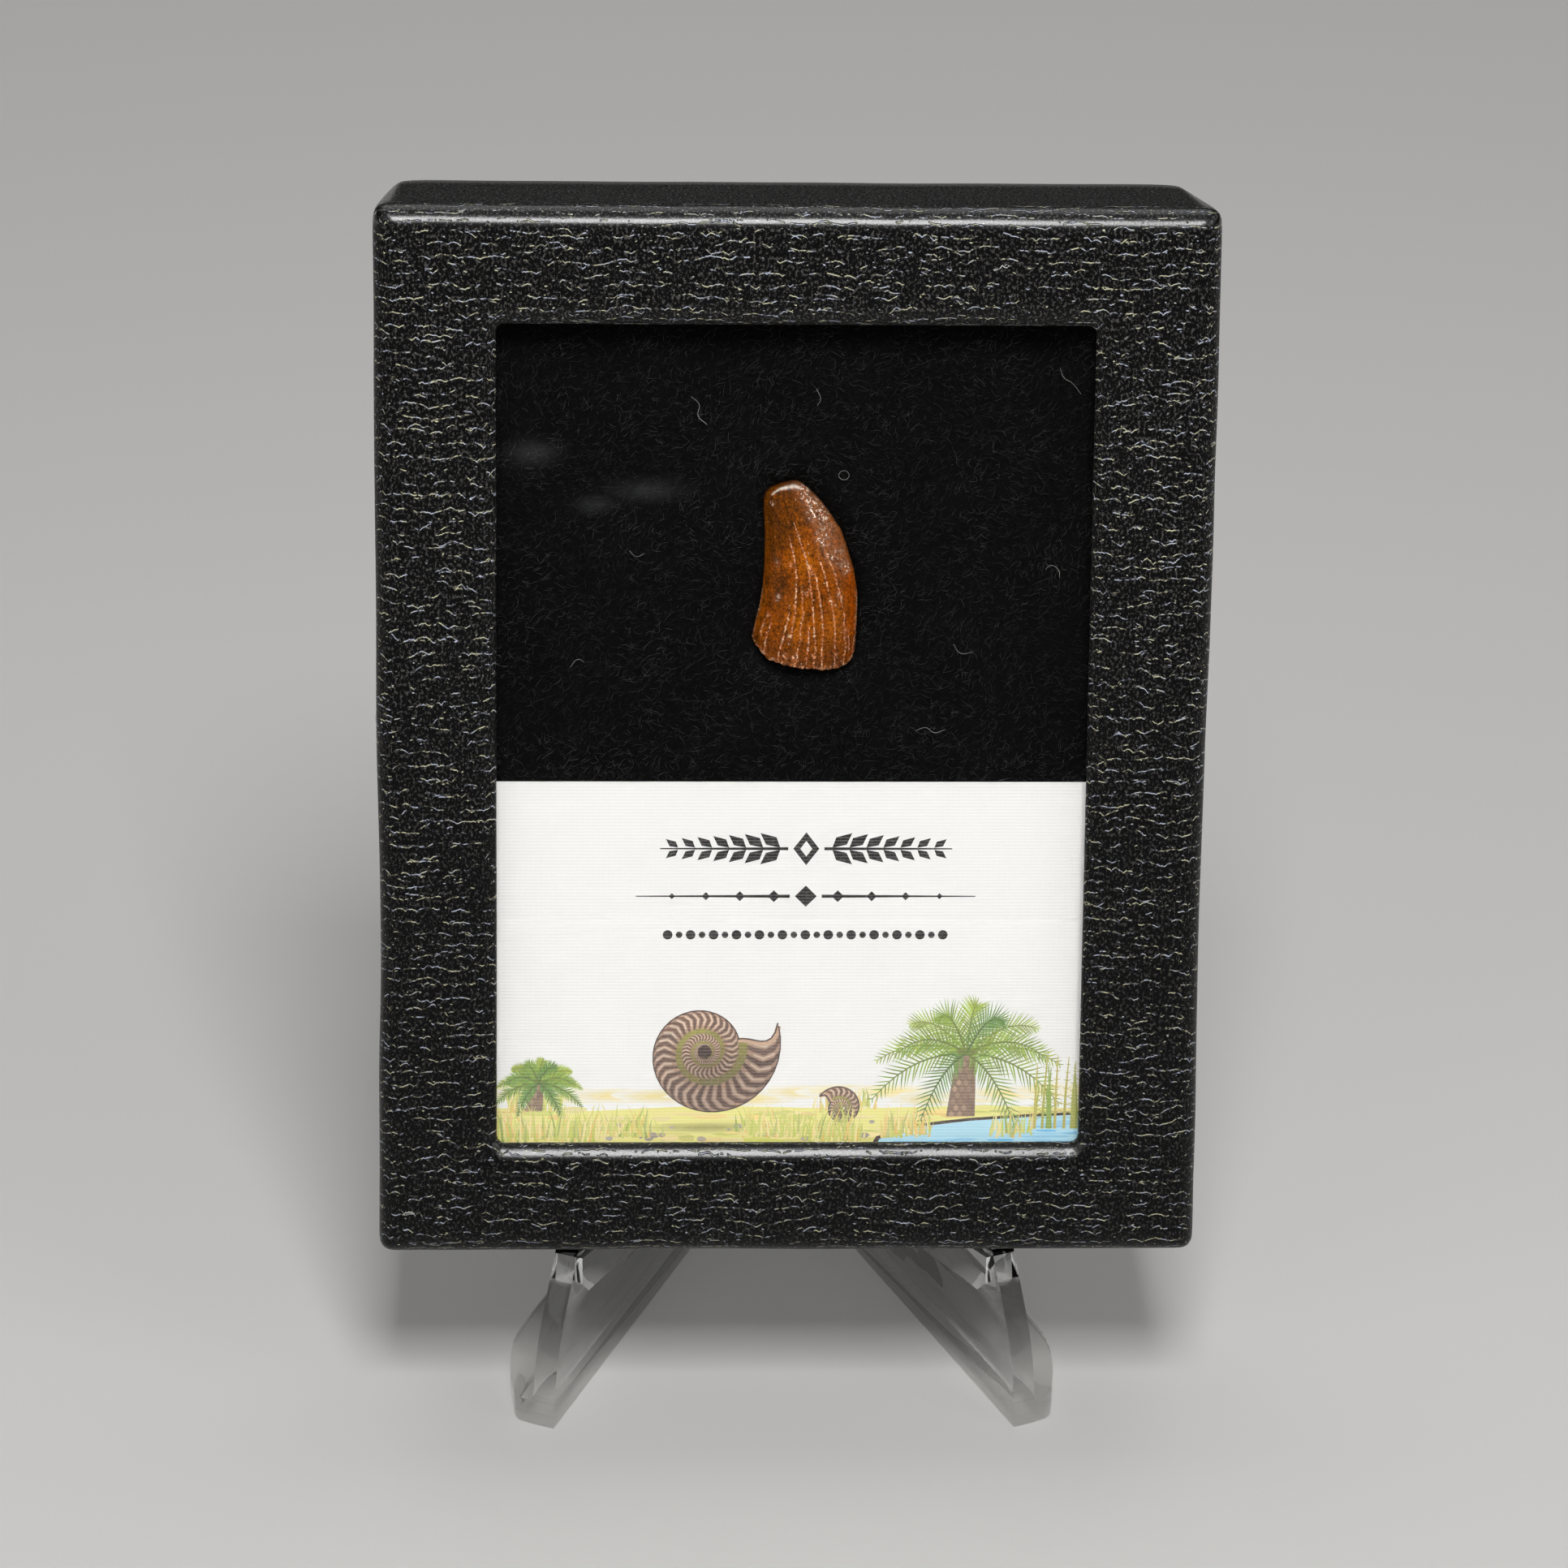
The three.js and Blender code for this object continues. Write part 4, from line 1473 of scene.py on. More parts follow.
            vert[tint] = (*self.stain(x, level, from_left, from_right), 1.0)
            vert[crest] = min(shown, 1.0) if cap == 1 else 0.3
            # Painted highlight along the tip's rim.
            vert[gleam] = 0.7 * self.gleam_field(x, level) if facing else 0.0
            vert[strand] = (across * 3.3, level, math.copysign(5.0, bulge) + cap)
            # Pits, with the painted sheen and sparkle of the upper right.
            vert[pitted] = self.pits_and_sheen_at(x, level)
        bm.normal_update()

    def outline(self) -> list[Point]:
        """Outline of the tooth on the case's face, anticlockwise from its base.

        Returns:
            Its corners.
        """
        left, right, base = self.measure(self.left), self.measure(self.right), self.measure(self.base_line)
        bottom = [(x, base(x)) for x in np.linspace(-3.9, 6.3, 30)]
        rising = [(right(z), z) for z in np.linspace(61.8, self.tip, 30)]
        falling = [(left(z), z) for z in np.linspace(self.tip, 62.9, 30)]
        return [*bottom, *rising, *falling]

    def dress(self) -> None:
        """Builds the tooth and puts it in the scene."""
        bm = bmesh.new()
        bmesh.ops.create_uvsphere(bm, u_segments=self.around, v_segments=self.rings, radius=1.0)
        self.shape(bm)
        mesh = mesh_of(bm, "tooth_enamel", PLACE.matrix())
        mesh.set_sharp_from_angle(angle=math.pi)
        hand_over(mesh, self.finish.material(), Slot.ENAMEL, ["tooth"])


# ---- pad, its nap and lint ------------------------------------------------------------------------------


@dataclass
class FibrePad:
    """Felt pad that fills the tray and dips around the tooth. Millimetres of the case."""

    tooth: Tooth
    half_width: float = 37.65
    bottom: float = 3.6
    top: float = 102.8
    front: float = 4.35
    back: float = 18.2
    sunk: float = 0.16
    pitch: float = 0.55
    dip_reach: float = 2.3
    dip_depth: float = 1.9
    bed_reach: float = 0.9
    bed_depth: float = 5.4
    brushed: Sequence[Patch] = (
        ((-25.8, 81.5), (2.2, 1.1), 0.3), ((-14.3, 77.8), (3.0, 0.9), 0.3), ((-19.7, 76.3), (1.6, 0.7), 0.3),
    )
    finish: FeltFinish = FeltFinish()

    def __post_init__(self) -> None:
        """Keeps the tooth's outline for the dip."""
        self.rim = np.array(self.tooth.outline())

    def distance(self, x: np.ndarray, z: np.ndarray) -> np.ndarray:
        """Distance of places outside the tooth's outline, negative inside it.

        Args:
            x: Places across.
            z: Places up.

        Returns:
            The distances.
        """
        places = np.stack([x, z], axis=-1)
        away = distance_to(places, self.rim, np.roll(self.rim, -1, axis=0))
        return np.where(is_inside(places, self.rim), -away, away)

    def surface(self, x: np.ndarray, z: np.ndarray) -> np.ndarray:
        """Depth of the felt's surface behind the case's front face.

        Args:
            x: Places across.
            z: Places up.

        Returns:
            The depths.
        """
        out = self.distance(x, z)
        dip = self.dip_depth * np.clip(1 - out / self.dip_reach, 0, 1) ** 2
        bed = (self.bed_depth - self.dip_depth) * np.clip(-out / self.bed_reach, 0, 1) ** 0.7
        slack = [0.10 * wander(a, b, 0.11, 40.0) + 0.07 * wander(a, b, 0.5, 41.0) for a, b in zip(x, z)]
        return self.front + self.sunk + dip + bed + np.array(slack)

    def build(self) -> Shape:
        """Builds the pad: a fine front sheet, drawn back into a closed block.

        Returns:
            The shape.
        """
        bm = bmesh.new()
        width, height = 2 * self.half_width, self.top - self.bottom
        columns, rows = round(width / self.pitch), round(height / self.pitch)
        bmesh.ops.create_grid(bm, x_segments=columns, y_segments=rows, size=0.5)
        bmesh.ops.rotate(bm, cent=(0, 0, 0), matrix=Matrix.Rotation(math.pi / 2, 3, "X"), verts=bm.verts)
        bmesh.ops.scale(bm, vec=(width, 1, height), verts=bm.verts)
        bmesh.ops.translate(bm, vec=(0, self.front, (self.top + self.bottom) / 2), verts=bm.verts)
        places = np.array([vert.co for vert in bm.verts])
        for vert, depth in zip(bm.verts, self.surface(places[:, 0], places[:, 2])):
            vert.co.y = depth
        close_back(bm, self.back)
        layer = bm.verts.layers.float.new("brushed")
        for vert in bm.verts:
            vert[layer] = self.brushing(vert.co.x, vert.co.z) if vert.co.y < self.back else 0.0
        return bm

    def brushing(self, x: float, z: float) -> float:
        """How far the nap is brushed up at a place, from 0 to 1."""
        return min(patchwork(x, z, self.brushed) * (1 + 0.5 * wander(x, z, 0.9, 44.0)), 1.0)

    def dress(self) -> None:
        """Builds the pad and puts it in the scene."""
        mesh = mesh_of(self.build(), "felt_pad", PLACE.matrix())
        pad = hand_over(mesh, self.finish.ground(), Slot.FELT, ["fibre_pad"])


@dataclass
class FeltNap:
    """Short loose fibres on the part of the pad that shows, as two meshes. Millimetres of the case."""

    pad: FibrePad
    count: int = 9800
    half_width: float = 30.2
    bottom: float = 47.6
    top: float = 95.6
    clear_of_tooth: float = 0.12
    thickness: float = 0.029
    taper: Sequence[float] = (0.55, 1.0, 0.85, 0.3)
    sides: int = 3
    joints: int = 4
    most_forward: float = 3.55
    first_seed: int = 71
    finish: FeltFinish = FeltFinish()

    def paths(self, rng: np.random.Generator) -> np.ndarray:
        """Points along every fibre.

        Args:
            rng: Source of the draws.

        Returns:
            Points by fibre and joint.
        """
        x = rng.uniform(-self.half_width, self.half_width, 3 * self.count)
        z = rng.uniform(self.bottom, self.top, 3 * self.count)
        keep = self.pad.distance(x, z) > self.clear_of_tooth
        x, z = x[keep][: self.count], z[keep][: self.count]
        depth = self.pad.surface(x, z)
        lie = np.array([0.5 + 1.6 * wander(a, b, 0.12, 50.0) for a, b in zip(x, z)])
        heading = lie + rng.normal(0, 0.75, self.count)
        length = rng.gamma(6.0, 0.125, self.count)
        bend = rng.normal(0, 0.55, self.count)
        rise = rng.gamma(2.0, 0.075, self.count)
        steps = np.linspace(-0.5, 0.5, self.joints)
        angles = heading[:, None] + bend[:, None] * steps * 2
        offsets = np.cumsum(np.stack([np.cos(angles), np.sin(angles)], -1), axis=1)
        offsets = (offsets - offsets.mean(1, keepdims=True)) * (length / (self.joints - 1))[:, None, None]
        arch = rise[:, None] * (1 - 2.2 * steps ** 2) + rng.normal(0, 0.05, (self.count, 1))
        forward = np.maximum(depth[:, None] - arch, self.most_forward)
        return np.stack([x[:, None] + offsets[..., 0], forward, z[:, None] + offsets[..., 1]], -1)

    def faces(self) -> list[list[int]]:
        """Sides and end caps of all the fibres, as numbers of their points.

        Returns:
            Numbers of each face's points.
        """
        start = np.arange(self.count) * self.joints * self.sides
        last = (self.joints - 1) * self.sides
        wall = []
        for joint in range(self.joints - 1):
            for side in range(self.sides):
                a, b = joint * self.sides + side, joint * self.sides + (side + 1) % self.sides
                wall.append((a, a + self.sides, b + self.sides, b))
        quads = (start[:, None, None] + np.array(wall)).reshape(-1, 4)
        caps = (start[:, None, None] + np.array([(0, 1, 2), (last + 2, last + 1, last)])).reshape(-1, 3)
        return [*quads.tolist(), *caps.tolist()]

    def mesh(self, name: str, seed: int) -> Mesh:
        """Joined mesh of the fibres.

        Args:
            name: Name of the mesh.
            seed: Seed of the draws.

        Returns:
            The mesh, with a shade attribute.
        """
        rng = np.random.default_rng(seed)
        paths = self.paths(rng)
        along = np.gradient(paths, axis=1)
        along /= np.linalg.norm(along, axis=-1, keepdims=True)
        across = np.cross(along, (0.0, -1.0, 0.0))
        across /= np.linalg.norm(across, axis=-1, keepdims=True)
        upward = np.cross(across, along)
        radius = np.array(self.taper) * self.thickness / 2 * rng.uniform(0.7, 1.35, (self.count, 1))
        turns = (np.arange(self.sides) * math.tau / self.sides)[:, None]
        ring = np.cos(turns) * across[:, :, None] + np.sin(turns) * upward[:, :, None]
        points = (paths[:, :, None] + ring * radius[:, :, None, None]).reshape(-1, 3)
        place = np.array(PLACE.matrix())
        mesh = bpy.data.meshes.new(name)
        mesh.from_pydata((points @ place[:3, :3].T + place[:3, 3]).tolist(), [], self.faces())
        shade = 0.8 * rng.uniform(0, 1, self.count) ** 2.6
        cloud = np.array([0.75 + 0.6 * wander(a, b, 0.17, 60.0) for a, _, b in paths[:, 0]])
        layer = mesh.attributes.new("shade", "FLOAT", "POINT")
        layer.data.foreach_set("value", np.repeat(shade * cloud, self.joints * self.sides).astype(np.float32))
        mesh.polygons.foreach_set("use_smooth", [True] * len(mesh.polygons))
        return mesh

    def dress(self) -> None:
        """Builds both halves of the nap and puts them in the scene."""
        material = self.finish.fibres("felt_fibre")
        for half in range(2):
            hand_over(self.mesh(f"felt_nap_{half + 1}", self.first_seed + half), material, Slot.FELT)


@dataclass
class Lint:
    """Stray hairs and one looped fibre on the felt. Millimetres of the case."""

    pad: FibrePad
    loop: Point = (4.9, 79.4)
    loop_radius: float = 0.5
    hairs: Sequence[Sequence[Point]] = (
        ((26.0, 90.2), (26.4, 89.2), (27.2, 88.7), (28.1, 87.6)),
        ((25.0, 70.0), (25.5, 70.4), (26.3, 69.9), (26.4, 69.2)),
        ((-10.2, 87.2), (-9.4, 86.4), (-9.5, 85.3), (-8.6, 84.4)),
        ((2.1, 88.0), (2.5, 87.0), (2.2, 86.3)),
        ((12.4, 53.6), (13.4, 53.9), (14.2, 53.4), (15.3, 53.7)),
        ((-22.0, 60.0), (-21.2, 60.8), (-20.6, 60.5)),
        ((16.0, 62.4), (16.7, 61.5), (17.9, 61.6)),
        ((-16.2, 71.8), (-15.5, 71.2), (-14.7, 71.5)),
    )
    thickness: float = 0.045
    lift: float = 0.28
    finish: FeltFinish = FeltFinish(pale=(0.5, 0.49, 0.46))

    def thread(self, points: Sequence[Point], closed: bool) -> Mesh:
        """Round thread through points that lie on the felt.

        Args:
            points: Places on the felt.
            closed: Whether the thread joins its own start.

        Returns:
            The thread, with open ends closed.
        """
        flat = np.array(points)
        depth = self.pad.surface(flat[:, 0], flat[:, 1]) - self.lift
        curve = bpy.data.curves.new("thread", "CURVE")
        curve.dimensions = "3D"
        curve.bevel_depth = self.thickness / 2
        curve.bevel_resolution = 1
        curve.resolution_u = 6
        curve.use_fill_caps = True
        spline = curve.splines.new("BEZIER")
        spline.bezier_points.add(len(points) - 1)
        for knot, (x, z), y in zip(spline.bezier_points, points, depth):
            knot.co = (x, y, z)
            knot.handle_left_type = knot.handle_right_type = "AUTO"
        spline.use_cyclic_u = closed
        holder = bpy.data.objects.new("thread", curve)
        bpy.context.scene.collection.objects.link(holder)
        bpy.context.view_layer.update()
        drawn = bpy.data.meshes.new_from_object(holder.evaluated_get(bpy.context.evaluated_depsgraph_get()))
        bpy.data.objects.remove(holder)
        bpy.data.curves.remove(curve)
        return drawn

    def dress(self) -> None:
        """Joins the loop and the hairs and puts them in the scene."""
        (x, z), reach = self.loop, self.loop_radius
        turns = [math.tau * step / 8 for step in range(8)]
        loop = [(x + reach * math.cos(turn), z + 0.9 * reach * math.sin(turn)) for turn in turns]
        joined = bmesh.new()
        for points, closed in [(loop, True), *((hair, False) for hair in self.hairs)]:
            drawn = self.thread(points, closed)
            joined.from_mesh(drawn)
            bpy.data.meshes.remove(drawn)
        bmesh.ops.remove_doubles(joined, verts=joined.verts, dist=1e-4)
        bmesh.ops.recalc_face_normals(joined, faces=joined.faces)
        shade = joined.verts.layers.float.new("shade")
        for vert in joined.verts:
            vert[shade] = 0.55 + 0.4 * wander(vert.co.x, vert.co.z, 0.7, 66.0)
        mesh = mesh_of(joined, "felt_lint", PLACE.matrix())
        hand_over(mesh, self.finish.fibres("lint"), Slot.FELT)


# ---- card -----------------------------------------------------------------------------------------------


class Ink(Enum):
    """Printing inks and paper."""

    PAPER = (0.875, 0.867, 0.845)
    BLACK = (0.018, 0.015, 0.014)
    UMBER = (0.055, 0.028, 0.020)
    MAUVE = (0.43, 0.25, 0.18)
    TAN = (0.60, 0.40, 0.27)
    CREAM = (0.90, 0.80, 0.66)
    OLIVE = (0.52, 0.50, 0.10)
    SHADOW = (0.44, 0.41, 0.12)
    OCHRE = (0.80, 0.53, 0.12)
    SAND = (0.88, 0.76, 0.36)
    MEADOW = (0.84, 0.79, 0.27)
    MOSS = (0.26, 0.38, 0.05)
    GRASS = (0.56, 0.62, 0.09)
    LEAF = (0.12, 0.26, 0.06)
    WATER = (0.16, 0.52, 0.82)
    SHALLOW = (0.46, 0.75, 0.88)
    STONE = (0.42, 0.36, 0.30)

    def to(self, other: "Ink", share: float) -> Colour:
        """Mix of this ink with a share of another."""
        return blend(self.value, other.value, share)


class Print:
    """Flat inks laid over each other on the card's face, each ink area a closed outline."""

    def __init__(self, seed: int) -> None:
        """Starts an empty print, with a seed for its brush's draws."""
        self.rng = random.Random(seed)
        self.areas: list[tuple[list[Point], Colour]] = []

    def area(self, points: Sequence[Point], colour: Colour) -> None:
        """Lays one area of ink inside an outline, which is turned anticlockwise."""
        turn = sum(a[0] * b[1] - b[0] * a[1] for a, b in zip(points, [*points[1:], points[0]]))
        self.areas.append((list(points) if turn > 0 else list(reversed(points)), colour))

    def lozenge(self, middle: Point, size: Point, colour: Colour) -> None:
        """Lays a lozenge, by its middle and half its width and height."""
        (x, z), (wide, tall) = middle, size
        self.area([(x - wide, z), (x, z - tall), (x + wide, z), (x, z + tall)], colour)

    def vary(self, colour: Colour, amount: float) -> Colour:
        """Draws a colour that is a little lighter or darker, and warmer or cooler.

        Args:
            colour: The colour it starts from.
            amount: How far it may stray, as a share.

        Returns:
            The drawn colour.
        """
        light = 1 + self.rng.uniform(-amount, amount)
        warm = self.rng.uniform(-amount, amount) * 0.35
        shifts = (1 + warm, 1, 1 - warm)
        return tuple(min(max(part * light * shift, 0.0), 0.95) for part, shift in zip(colour, shifts))

    def blob(
        self, centre: Point, size: Point, colour: Colour, corners: int = 12, uneven: float = 0.18
    ) -> None:
        """Lays a rounded patch.

        Args:
            centre: Its middle.
            size: Half its width and half its height.
            colour: Its colour.
            corners: Points of its outline.
            uneven: How much its outline varies.
        """
        (x, z), (wide, tall) = centre, size
        points = []
        for step in range(corners):
            turn = math.tau * step / corners
            reach = 1 + self.rng.uniform(-uneven, uneven)
            points.append((x + wide * reach * math.cos(turn), z + tall * reach * math.sin(turn)))
        self.area(points, colour)

    def wash(self, centre: Point, size: Point, colour: Colour, under: Colour = Ink.PAPER.value) -> None:
        """Lays a patch whose edge fades into what is under it, as nested blobs.

        Args:
            centre: Its middle.
            size: Half its width and half its height.
            colour: Its colour.
            under: Colour of what is under it.
        """
        layers = 4
        for layer in range(layers):
            grow = 1.0 - 0.22 * layer
            tone = blend(under, colour, (layer + 1) / layers)
            self.blob(centre, (size[0] * grow, size[1] * grow), tone, 16, 0.12)

    def stroke(self, path: Sequence[Point], widths: Sequence[float], colour: Colour) -> None:
        """Lays a line of changing width.

        Args:
            path: Points along its middle.
            widths: Its width at each point.
            colour: Its colour.
        """
        near, far = [], []
        for index, (x, z) in enumerate(path):
            before, after = path[max(index - 1, 0)], path[min(index + 1, len(path) - 1)]
            run, rise = after[0] - before[0], after[1] - before[1]
            length = math.hypot(run, rise) or 1.0
            off = widths[index] / 2
            near.append((x - rise / length * off, z + run / length * off))
            far.append((x + rise / length * off, z - run / length * off))
        self.area([*near, *reversed(far)], colour)


@dataclass(frozen=True)
class Coil:
    """Ribbed shell, coiled flat: middle, radius at the mouth, turns, angle of the mouth, ribs a turn."""

    centre: Point
    radius: float
    whorls: float
    tilt: float
    ribs: int
    growth: float = 2.15

    def at(self, turn: float, share: float) -> Point:
        """Place on the coil.

        Args:
            turn: Angle back from the mouth, in radians.
            share: Share of the way from the inner edge of the whorl to its outer edge.

        Returns:
            The place.
        """
        decay = math.log(self.growth) / math.tau
        outer = self.radius * math.exp(-decay * turn)
        inner = self.radius * math.exp(-decay * (turn + math.tau)) * 0.97
        reach = inner + (outer - inner) * share
        angle = self.tilt - turn - 0.22 * math.sin(math.pi * share) * (0.4 + share)
        return self.centre[0] + reach * math.cos(angle), self.centre[1] + reach * math.sin(angle)

    def strip(self, start: float, end: float, shares: Sequence[float]) -> list[Point]:
        """Outline of a strip between two angles, with corners at some shares of the way across."""
        far = (self.at(end, share) for share in reversed(shares))
        return [*(self.at(start, share) for share in shares), *far]

    def lay(self, ink: Print) -> None:
        """Prints the shell rib by rib, from its middle to its mouth.

        Args:
            ink: The print.
        """
        for rib in range(int(self.whorls * self.ribs), -1, -1):
            turn, following = math.tau * rib / self.ribs, math.tau * (rib + 1) / self.ribs
            width = following - turn
            lit = 0.5 + 0.5 * math.cos(self.tilt - turn - 2.0)
            body = Ink.UMBER.to(Ink.TAN, 0.42 + 0.5 * lit)
            bands = (
                (0.0, 1.0, (0.0, 0.25, 0.5, 0.75, 1.0), blend(body, Ink.MAUVE.value, 0.35), 0.10),
                (0.52, 1.0, (0.10, 0.35, 0.6, 0.85, 1.0), Ink.UMBER.to(Ink.MAUVE, 0.10 + 0.25 * lit), 0.18),
                (0.16, 0.34, (0.35, 0.6, 0.86), blend(body, Ink.CREAM.value, 0.25 + 0.45 * lit), 0.06),
                (0.05, 1.0, (0.0, 0.1, 0.2), Ink.UMBER.to(Ink.OLIVE, 0.25 + 0.35 * lit), 0.12),
            )
            for start, end, shares, tone, amount in bands:
                last = following if end == 1.0 else turn + end * width
                ink.area(self.strip(turn + start * width, last, shares), ink.vary(tone, amount))
        umber = Ink.UMBER.value
        ink.stroke([self.at(0.0, step / 8) for step in range(9)], [0.5] * 9, Ink.TAN.value)
        ink.stroke([self.at(-0.04, step / 8) for step in range(9)], [0.16] * 9, umber)
        ink.blob(self.centre, (self.radius * 0.09, self.radius * 0.09), umber, 14, 0.05)
        ink.stroke([self.at(math.tau * step / 40, 1.0) for step in range(41)], [0.13] * 41, umber)


@dataclass(frozen=True)
class Cycad:
    """Scaly trunk with a crown of fronds: where it stands, its height and the reach of its fronds."""

    foot: Point
    height: float
    spread: float
    behind: Sequence[Point] = ((-0.95, 0.35), (-0.6, 0.75), (0.1, 0.95), (0.75, 0.7), (1.0, 0.3))
    before: Sequence[Point] = (
        (-1.0, 0.0), (-0.75, 0.5), (-0.3, 0.9), (0.4, 0.85), (0.85, 0.45), (1.0, -0.05), (-0.5, -0.3),
        (0.55, -0.35),
    )
    leaflets: int = 22

    def frond(self, ink: Print, reach: Point, sag: float, leaf: float, colour: Colour) -> None:
        """Prints one arching frond with paired leaflets.

        Args:
            ink: The print.
            reach: Its tip, from the crown.
            sag: How far its tip bends down.
            leaf: Length of its longest leaflets.
            colour: Its colour.
        """
        root_x, root_z = self.foot[0] + 0.5, self.foot[1] + self.height

        def rachis(share: float) -> Point:
            """Place at a share of the way along the frond's middle."""
            return root_x + reach[0] * share, root_z + reach[1] * share - sag * share ** 2.4

        for step in range(2, self.leaflets + 1):
            share = step / self.leaflets
            (x, z), (after_x, after_z) = rachis(share), rachis(share + 0.02)
            heading = math.atan2(after_z - z, after_x - x)
            size = leaf * math.sin(math.pi * min(share * 0.86 + 0.10, 1.0)) ** 0.7
            run, rise = 0.11 * math.cos(heading), 0.11 * math.sin(heading)
            for sign in (-1, 1):
                turn = heading + sign * (1.05 - 0.35 * share) + ink.rng.uniform(-0.08, 0.08)
                out, up = math.cos(turn), math.sin(turn)
                hip = (x + 0.45 * size * out + run * 1.2, z + 0.45 * size * up + rise * 1.2)
                corners = [(x - run, z - rise), (x + size * out, z + size * up), hip, (x + run, z + rise)]
                ink.area(corners, ink.vary(colour, 0.28))
        widths = [0.26 - 0.022 * step for step in range(9)]
        ink.stroke([rachis(step / 8) for step in range(9)], widths, blend(colour, Ink.UMBER.value, 0.45))

    def trunk(self, ink: Print) -> None:
        """Prints the trunk and its scales, row by row.

        Args:
            ink: The print.
        """
        (x, z), wide = self.foot, 0.13 * self.height + 0.35
        top_x, top_z = x + 0.5, z + self.height + 0.3
        upper = [(top_x + wide * 0.8, top_z), (top_x - wide * 0.8, top_z)]
        ink.area([(x - wide * 1.2, z), (x + wide * 1.2, z), *upper], Ink.UMBER.to(Ink.TAN, 0.35))
        rows = int(self.height / 0.62)
        for row in range(rows):
            share = row / rows
            level = z + 0.2 + self.height * share
            here = wide * (1.1 - 0.35 * share)
            for column in (-1, 0, 1):
                at = x + 0.5 * share + column * here * 0.62 + (0.3 * here if row % 2 else 0) - 0.1
                tone = Ink.UMBER.to(Ink.TAN, 0.25 + 0.3 * (1 - column) / 2 + ink.rng.uniform(0, 0.3))
                ink.area([(at - 0.3, level), (at, level - 0.28), (at + 0.3, level), (at, level + 0.42)], tone)

    def lay(self, ink: Print) -> None:
        """Prints the fronds behind the trunk, the trunk, and the fronds before it.

        Args:
            ink: The print.
        """
        spread, far = self.spread, Ink.MOSS.to(Ink.GRASS, 0.35)
        for run, rise in self.behind:
            self.frond(ink, (spread * run, spread * rise), spread * 0.42, spread * 0.23, far)
        self.trunk(ink)
        for run, rise in self.before:
            near = Ink.LEAF.to(Ink.MOSS, ink.rng.random())
            self.frond(ink, (spread * run, spread * rise), spread * 0.5, spread * 0.25, near)


@dataclass(frozen=True)
class Grass:
    """Row of tufts: their places across, their level, blades, height and half width."""

    places: Sequence[float]
    level: float
    blades: int
    height: float
    spread: float
    inks: Sequence[Ink] = (Ink.GRASS, Ink.GRASS, Ink.MOSS, Ink.SAND, Ink.OCHRE)

    def lay(self, ink: Print) -> None:
        """Prints the tufts, blade by blade.

        Args:
            ink: The print.
        """
        rng = ink.rng
        for middle in (place for place in self.places for _ in range(self.blades)):
            x = middle + rng.gauss(0, 0.45) * self.spread
            tall = self.height * rng.uniform(0.35, 1.0) * (1 - 0.4 * min(abs(x - middle) / self.spread, 1.0))
            lean = rng.uniform(-0.35, 0.35) * tall
            z = self.level + rng.uniform(-0.5, 0.4)
            tone = rng.choice(self.inks).to(Ink.SAND, rng.uniform(0.05, 0.55))
            path = [(x, z), (x + 0.35 * lean, z + 0.55 * tall), (x + lean, z + tall)]
            ink.stroke(path, [0.24, 0.16, 0.02], tone)


@dataclass(frozen=True)
class Reeds:
    """Ringed reeds that stand in the pool."""

    count: int = 14
    low: float = 25.0
    high: float = 30.5
    level: float = 12.4
    rings: int = 9

    def lay(self, ink: Print) -> None:
        """Prints the reeds, each with its whorls of thin leaves.

        Args:
            ink: The print.
        """
        rng, foot = ink.rng, self.level
        for _ in range(self.count):
            x = rng.uniform(self.low, self.high)
            tall = rng.uniform(4.0, 8.2)
            tone = Ink.MOSS.to(Ink.OCHRE, rng.uniform(0, 0.6))
            lean = rng.uniform(-0.5, 0.5)
            stem = [(x, foot), (x + 0.3 * lean, foot + tall / 2), (x + lean, foot + tall)]
            ink.stroke(stem, [0.3, 0.22, 0.08], tone)
            for share in (ring / self.rings for ring in range(2, self.rings)):
                at, z, wide = x + lean * share, foot + tall * share, 0.85 * (1 - share) + 0.12
                leaves = [(at - wide, z + 0.4 * wide), (at, z), (at + wide, z + 0.4 * wide)]
                ink.stroke(leaves, [0.03, 0.12, 0.03], tone)


